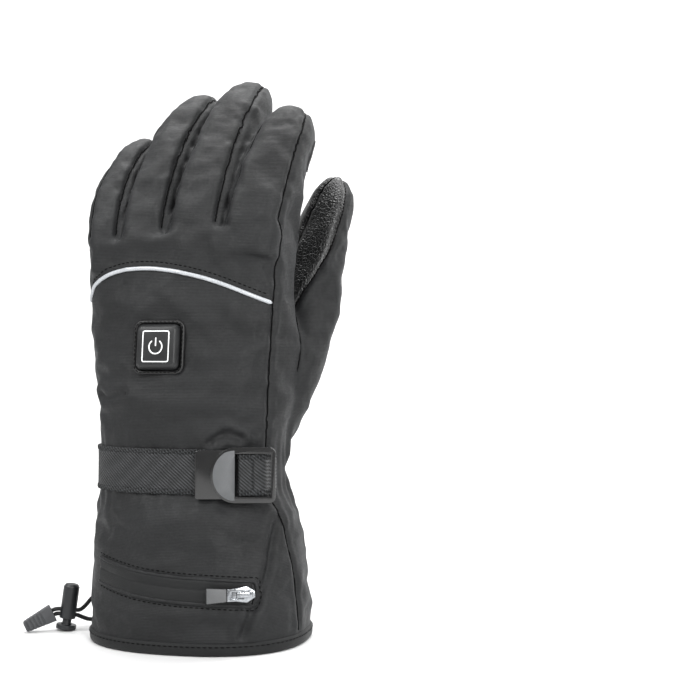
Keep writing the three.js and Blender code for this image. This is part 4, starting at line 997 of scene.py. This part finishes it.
# ---------------------------------------------------------------- piping, seams and stitches
piping_at, piping_out = on_fabric(piping_path)
piping = make("reflective_cord", *outward(tube(piping_at + piping_out * 0.3, 1.05, 12, 0.85, piping_out)), TAPE,
              "reflective_tape")
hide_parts("reflective_piping")

sewn, topstitch = [], []
for line in seams:
    at, out = on_fabric(spread(line, 180))
    sewn.append(tube(at + out * 0.02, 0.4, 6, 1.0, out))
at, out = on_fabric(back_point(piping_x, piping_z + 3.6))
topstitch += stitches(at, out, 2.7)
for line, lift in [(quilting[0], 0.75), (quilting[1], 0.75), (thumb_inner, 0.45)]:
    at, out = on_fabric(spread(line, 120), lift)
    sewn.append(tube(at, 0.34, 6, 1.0, out))
for line, lift in [(palm_grid[0], 0.45), (palm_grid[2], 0.8), (palm_grid[-1], 0.45), (palm_grid[:, -1], 0.45),
                   (thumb_grid[:, -1], 0.4), (thumb_grid[:, 0], 0.4), (tip_grid[0], 0.4)]:
    at, out = on_fabric(spread(line, 120), lift)
    topstitch += stitches(at, out, 2.2, 0.7, 0.26, 0.2)

hem_round = np.linspace(0, 2 * math.pi, 241)
at = body_point(np.full(241, 4.9), hem_round, 1.15)
out = at - body_point(np.full(241, 4.9), hem_round, 0.0)
out /= np.linalg.norm(out, axis=1)[:, None]
topstitch += stitches(at, out, 2.9, 0.66, 0.24, 0.12)

# ---------------------------------------------------------------- hem binding
BINDING_PROFILE = [(0.0, -0.7), (0.25, 0.1), (0.9, 0.75), (2.2, 1.0), (4.2, 1.05), (5.6, 0.9), (6.4, 0.3), (6.7, -0.8),
                   (6.5, -3.2), (6.2, -4.9), (5.0, -5.6), (2.5, -5.8), (0.6, -5.4), (0.0, -4.4)]
around = np.linspace(0, 2 * math.pi, 200, endpoint=False)
binding = make("rolled_hem", *outward(looped([body_point(np.full(200, max(z, 0.0)), around, grow)
                                               for z, grow in BINDING_PROFILE])), BINDING, "binding_fabric")
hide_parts("hem_binding")

# ---------------------------------------------------------------- heating button
button_seat = seat(SIDE_LEAN - 0.11 * HAND_WIDTH / 2, 0.717 * KNUCKLE_HEIGHT)


def square_rings(rows, frame_at):
    """Rings of rounded rectangles: (width, height, corner, outward)."""
    return [placed(frame_at, [(x, out, y) for x, y in square_ring(w, h, c)]) for w, h, c, out in rows]


bezel = make("button_bezel_rim", *outward(looped(square_rings([
    (27.6, 27.6, 4.4, -3.5), (27.6, 27.6, 4.4, 0.6), (27.2, 27.2, 4.2, 1.3), (26.4, 26.4, 3.9, 1.75), (25.2, 25.2, 3.6, 1.8),
    (24.2, 24.2, 3.3, 1.5), (23.8, 23.8, 3.1, 0.9), (23.7, 23.7, 3.1, -3.5)], button_seat))), BEZEL, "bezel_plastic")
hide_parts("button_bezel")
pad = make("button_pad", *outward(loft(square_rings([
    (23.0, 23.0, 3.0, -3.5), (23.0, 23.0, 3.0, 2.3), (22.7, 22.7, 2.9, 2.75), (21.0, 21.0, 2.5, 4.3), (19.7, 19.7, 2.2, 5.05),
    (19.1, 19.1, 2.0, 5.2), (12.0, 12.0, 1.5, 5.22)], button_seat))), BUTTON, "button_rubber")
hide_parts("power_button")
face = 5.2
mark_square = looped(square_rings([
    (13.5, 14.9, 0.7, face), (13.5, 14.9, 0.7, face + 0.14), (14.5, 15.9, 1.1, face + 0.14), (14.5, 15.9, 1.1, face)],
    button_seat))
sweep = np.linspace(-235, 55, 40) * RAD
arc = [placed(button_seat, [((3.5 + r) * math.cos(a), face + h, (3.5 + r) * math.sin(a) - 0.2)
                            for r, h in ((-0.3, 0), (-0.3, 0.14), (0.3, 0.14), (0.3, 0))]) for a in sweep]
stem = [placed(button_seat, [(x, face + h, up) for x, h in ((-0.29, 0), (-0.29, 0.14), (0.29, 0.14), (0.29, 0))])
        for up in (0.2, 2.0, 4.4)]
mark = make("button_symbol", *joined([outward(p) for p in (mark_square, loft(arc), loft(stem))]), MARK,
            "reflective_tape", smooth=False)
bezel_line = placed(button_seat, [(x, 1.85, y) for x, y in np.vstack([square_ring(25.6, 25.6, 3.8, 10)] * 2)[:41]])
topstitch += stitches(bezel_line, np.tile(button_seat[2], (41, 1)), 2.2, 0.66, 0.22, 0.1)

# ---------------------------------------------------------------- wrist strap
strap_middle = WRIST_HEIGHT + STRAP_RISE
strap_low, strap_high = strap_middle - STRAP_WIDTH / 2, strap_middle + STRAP_WIDTH / 2
buckle_middle = SIDE_LEAN + 0.51 * WRIST_WIDTH / 2
PLATE_EDGE = -0.28 * 40


def webbing_relief(along, up, half):
    """Height of the weave: diagonal twill in the middle, upright ribs along both edges."""
    edge = half - np.abs(up)
    ribs = 0.42 * np.sin(2 * math.pi * along / 1.55)
    twill = 0.08 * np.sin(2 * math.pi * (along * 0.62 + up) / 1.5)
    band = np.clip((edge - 2.4) * 4, 0, 1)
    gap = -0.22 * np.exp(-((edge - 2.4) / 0.3) ** 2)
    return band * twill + (1 - band) * ribs + gap - 0.35 * np.exp(-(edge / 0.4) ** 2)


def strap_grid(columns, rows):
    half, _, middle, square = section(WRIST_HEIGHT)
    end_share = (buckle_middle + PLATE_EDGE + 5 - middle) / half
    end = -float(np.arccos(rounded(end_share, 4 / square)))
    base = spread(body_point(np.full(400, float(WRIST_HEIGHT)), np.linspace(-math.pi, end, 400)), columns)
    angle = np.array([-math.acos(float(rounded(np.clip((x - middle) / half, -1, 1), 4 / square))) for x in base[:, 0]])
    along = np.concatenate([[0], np.cumsum(np.linalg.norm(np.diff(base, axis=0), axis=1))])
    up = np.linspace(-STRAP_WIDTH / 2, STRAP_WIDTH / 2, rows)
    z = strap_middle + up
    outer, inner = [], []
    for zi, ui in zip(z, up):
        relief = webbing_relief(along, np.full(columns, ui), STRAP_WIDTH / 2)
        base_row = body_point(np.full(columns, zi), angle, 0.3)
        top_row = body_point(np.full(columns, zi), angle, 1.3)
        way = top_row - base_row
        way /= np.linalg.norm(way, axis=1)[:, None]
        outer.append(base_row + way * (WEBBING - 0.15 + relief)[:, None])
        inner.append(base_row)
    return slab(outer, inner)


strap = make("wrist_webbing", *outward(strap_grid(400, 100)), STRAP_CLOTH, "strap_webbing")
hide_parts("wrist_strap")

plate = refined("buckle_plate", "buckle_base", GLOSS, 0.45)
buckle = refined("buckle_frame", "buckle_loop", GLOSS, 0.55)
buckle_seat = seat(buckle_middle, WRIST_HEIGHT, 4.0)
TAIL_LINE = [(10.6, -1.3), (10.9, 1.4), (13.0, 2.2), (18.5, 2.2), (23.1, 0.5), (25.0, -3.9), (27.4, -7.7), (28.5, -12.0)]
tail_line = rounded_line(TAIL_LINE, 170)
tail_way = np.gradient(tail_line, axis=0)
tail_way /= np.linalg.norm(tail_way, axis=1)[:, None]
tail_along = np.concatenate([[0], np.cumsum(np.linalg.norm(np.diff(tail_line, axis=0), axis=1))])
TAIL_HALF = 10.2
tail_outer, tail_inner = [], []
for up in np.linspace(-TAIL_HALF, TAIL_HALF, 90):
    relief = webbing_relief(tail_along, np.full(170, up), TAIL_HALF)
    relief = relief - 0.75 * np.exp(-((tail_line[:, 0] - 17.6) / 0.5) ** 2)
    out = np.stack([-tail_way[:, 1], tail_way[:, 0]], 1)
    for rows, lift in ((tail_outer, 0.62 + relief), (tail_inner, np.full(170, -0.8))):
        at = tail_line + out * lift[:, None]
        rows.append(placed(buckle_seat, np.stack([at[:, 0], at[:, 1], np.full(170, up)], 1)))
tail = make("webbing_tail", *outward(slab(tail_outer, tail_inner)), STRAP_CLOTH, "strap_webbing")
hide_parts("strap_tail")
tab_edge = 8.6
tab_arc = np.linspace(90, 270, 49) * RAD


def tab_ring(inset, out):
    """A half-round outline inside the finger tab, that far from its edge."""
    curve = [(tab_edge + (12 - inset) * math.cos(a), out, (13.8 - inset) * math.sin(a)) for a in tab_arc]
    return placed(buckle_seat, curve)


tab_face = make("finger_tab_face", *outward(loft([tab_ring(1.1, 2.5), tab_ring(1.1, 2.98), tab_ring(1.35, 3.12),
                                                  tab_ring(4.0, 3.16)])), TAB_FACE, "buckle_plastic")

# ---------------------------------------------------------------- zip pocket
zip_line = rounded_line([(-0.79, 0.62), (-0.52, 0.38), (-0.30, 0.22), (-0.03, 0.10), (0.33, 0.02), (0.56, -0.06), (0.66, -0.10)], 120)
zip_x, zip_z = zip_line[:, 0] * CUFF_WIDTH / 2, 31 + zip_line[:, 1] * 12


def zip_edge(offset):
    return back_point(zip_x, zip_z + offset)


zip_grid = np.array([zip_edge(o) for o in np.linspace(-6, 6, 22)])
slit = zip_edge(0.8)
tape = make("zip_pocket_tape", *outward(sewn_patch(zip_grid, 0.8, [slit], 0.8, (0.45, 0.5))), ZIP_CLOTH, "zip_tape_fabric")
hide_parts("zip_tape")
rim_line = np.vstack([
    np.stack([zip_x, zip_z + 6], 1),
    [(zip_x[-1] + 2.0 * math.sin(a * RAD) ** 0.5, zip_z[-1] + 6 * math.cos(a * RAD)) for a in range(12, 180, 12)],
    np.stack([zip_x, zip_z - 6], 1)[::-1]])
rim_line = spread(rim_line, 220)
at, out = on_fabric(back_point(rim_line[:, 0], rim_line[:, 1]))
rim = make("zip_pocket_lip", *outward(tube(at + out * 0.5, 0.9, 10, 0.75, out)), FABRIC, "shell_fabric")
outer_line = np.vstack([
    np.stack([zip_x, zip_z + 8.0], 1),
    [(zip_x[-1] + 4.2 * math.sin(a * RAD) ** 0.6, zip_z[-1] + 8.0 * math.cos(a * RAD)) for a in range(12, 180, 12)],
    np.stack([zip_x, zip_z - 8.0], 1)[::-1]])
outer_line = spread(outer_line, 220)
at, out = on_fabric(back_point(outer_line[:, 0], outer_line[:, 1]))
topstitch += stitches(at, out, 2.8, 0.66, 0.24, 0.12)
slider = refined("zip_slider", "zip_slider_body", METAL, 0.3)
link = refined("zip_pull_link", "zip_link", METAL, 0.22, 3, "zip_pull")
grip = refined("zip_pull_grip", "zip_grip", GRIP, 0.45, 3, "zip_pull")

make("seam_threads", *joined([outward(p) for p in sewn]), DARK_THREAD, "shell_fabric")
make("top_stitches", *joined([outward(p) for p in topstitch]), STITCH_THREAD, "shell_fabric")

# ---------------------------------------------------------------- hem drawcord, cord lock and pull tab
lock = refined("cord_lock_barrel", "lock_body", LOCK, 0.35)
plunger = refined("cord_lock_plunger", "lock_button", LOCK, 0.3, 3, "lock_plunger")
tab = refined("pull_tab", "ribbed_tab", TAB, 0.22, 2)
CORDS = {
    "drawcord_lower": [(-58.7, 3.4, 4.6), (-61.9, 1.8, 4.7), (-65.1, 0.0, 5.1), (-67.3, -1.2, 6.0), (-69.2, -2.3, 7.0),
                       (-70.6, -3.2, 7.7), (-74.6, -5.5, 8.3), (-78.5, -7.7, 9.0), (-79.7, -8.4, 9.0),
                       (-80.8, -9.1, 8.6), (-83.2, -10.4, 7.3), (-86.1, -12.1, 5.7)],
    "drawcord_upper": [(-57.8, 4.2, 19.2), (-61.6, 2.0, 18.0), (-64.1, 0.6, 15.8), (-65.8, -0.4, 13.5),
                       (-67.5, -1.4, 11.5), (-69.1, -2.3, 10.4), (-70.3, -3.0, 10.3), (-74.3, -5.3, 10.9),
                       (-78.2, -7.6, 11.5), (-80.0, -8.6, 11.5), (-81.8, -9.6, 10.9), (-84.2, -11.0, 9.6),
                       (-87.0, -12.7, 8.1)],
}
for node, route in CORDS.items():
    line = rounded_line(route, 40)
    cord = make(node + "_braid", *outward(tube(line, 1.1, 14, taper=False)), BRAID, "cord_braid")
    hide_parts(node)


# ---------------------------------------------------------------- room, light and camera
def room():
    floor_points, floor_faces = [], []
    profile = [(-9.0, 0.0), (1.2, 0.0)] + [
        (1.2 + 1.5 * math.sin(a * RAD), 1.5 - 1.5 * math.cos(a * RAD)) for a in range(10, 91, 10)] + [(2.7, 5.0)]
    for x in (-6.0, 6.0):
        floor_points += [(x, y, z) for y, z in profile]
    n = len(profile)
    floor_faces = [(i, i + 1, n + i + 1, n + i) for i in range(n - 1)]
    mesh = bpy.data.meshes.new("floor")
    mesh.from_pydata(floor_points, [], floor_faces)
    mesh.shade_smooth()
    s = Surface("pale_floor", 0xd2d2d2, 0.6)
    s.rough(s.ramp(s.noise(s.place, 6.0), 0.3, 0.7, 0.5, 0.65))
    mesh.materials.append(s.material)
    floor = bpy.data.objects.new("floor", mesh)
    bpy.context.scene.collection.objects.link(floor)
    world = bpy.data.worlds.new("studio")
    world.use_nodes = True
    world.node_tree.nodes["Background"].inputs[0].default_value = (1, 1, 1, 1)
    world.node_tree.nodes["Background"].inputs[1].default_value = 0.52
    bpy.context.scene.world = world


def area_light(name, place, target, size, power):
    data = bpy.data.lights.new(name, "AREA")
    data.shape = "RECTANGLE"
    data.size, data.size_y = size
    data.energy = power
    light = bpy.data.objects.new(name, data)
    light.location = place
    light.rotation_euler = (Vector(target) - Vector(place)).to_track_quat("-Z", "Y").to_euler()
    bpy.context.scene.collection.objects.link(light)


room()
area_light("key", (-0.9, -1.1, 1.5), (0, 0, 0.15), (1.0, 0.8), 30)
area_light("fill", (1.2, -0.9, 0.7), (0, 0, 0.15), (0.5, 1.0), 9)
area_light("top", (0.1, 0.3, 1.7), (0, 0, 0.1), (1.2, 0.9), 18)
area_light("strip", (0.55, -0.75, 0.55), (0.01, -0.03, 0.09), (0.06, 0.5), 5)
area_light("rim", (1.0, 0.9, 0.9), (0, 0, 0.2), (0.5, 1.0), 10)
area_light("backdrop", (0, 0.9, 2.6), (0, 2.7, 0.9), (3.0, 0.8), 110)

camera = bpy.data.objects.new("camera", bpy.data.cameras.new("camera"))
bpy.context.scene.collection.objects.link(camera)
camera.data.lens = 63
camera.data.sensor_width = 36
camera.location = in_frame([222.3, -610.8, 150.0]).tolist()
turn = 13.16 * RAD
camera.rotation_euler = Vector((-math.sin(turn), math.cos(turn), 0)).to_track_quat("-Z", "Y").to_euler()
bpy.context.scene.camera = camera
bpy.context.scene.view_settings.view_transform = "Standard"
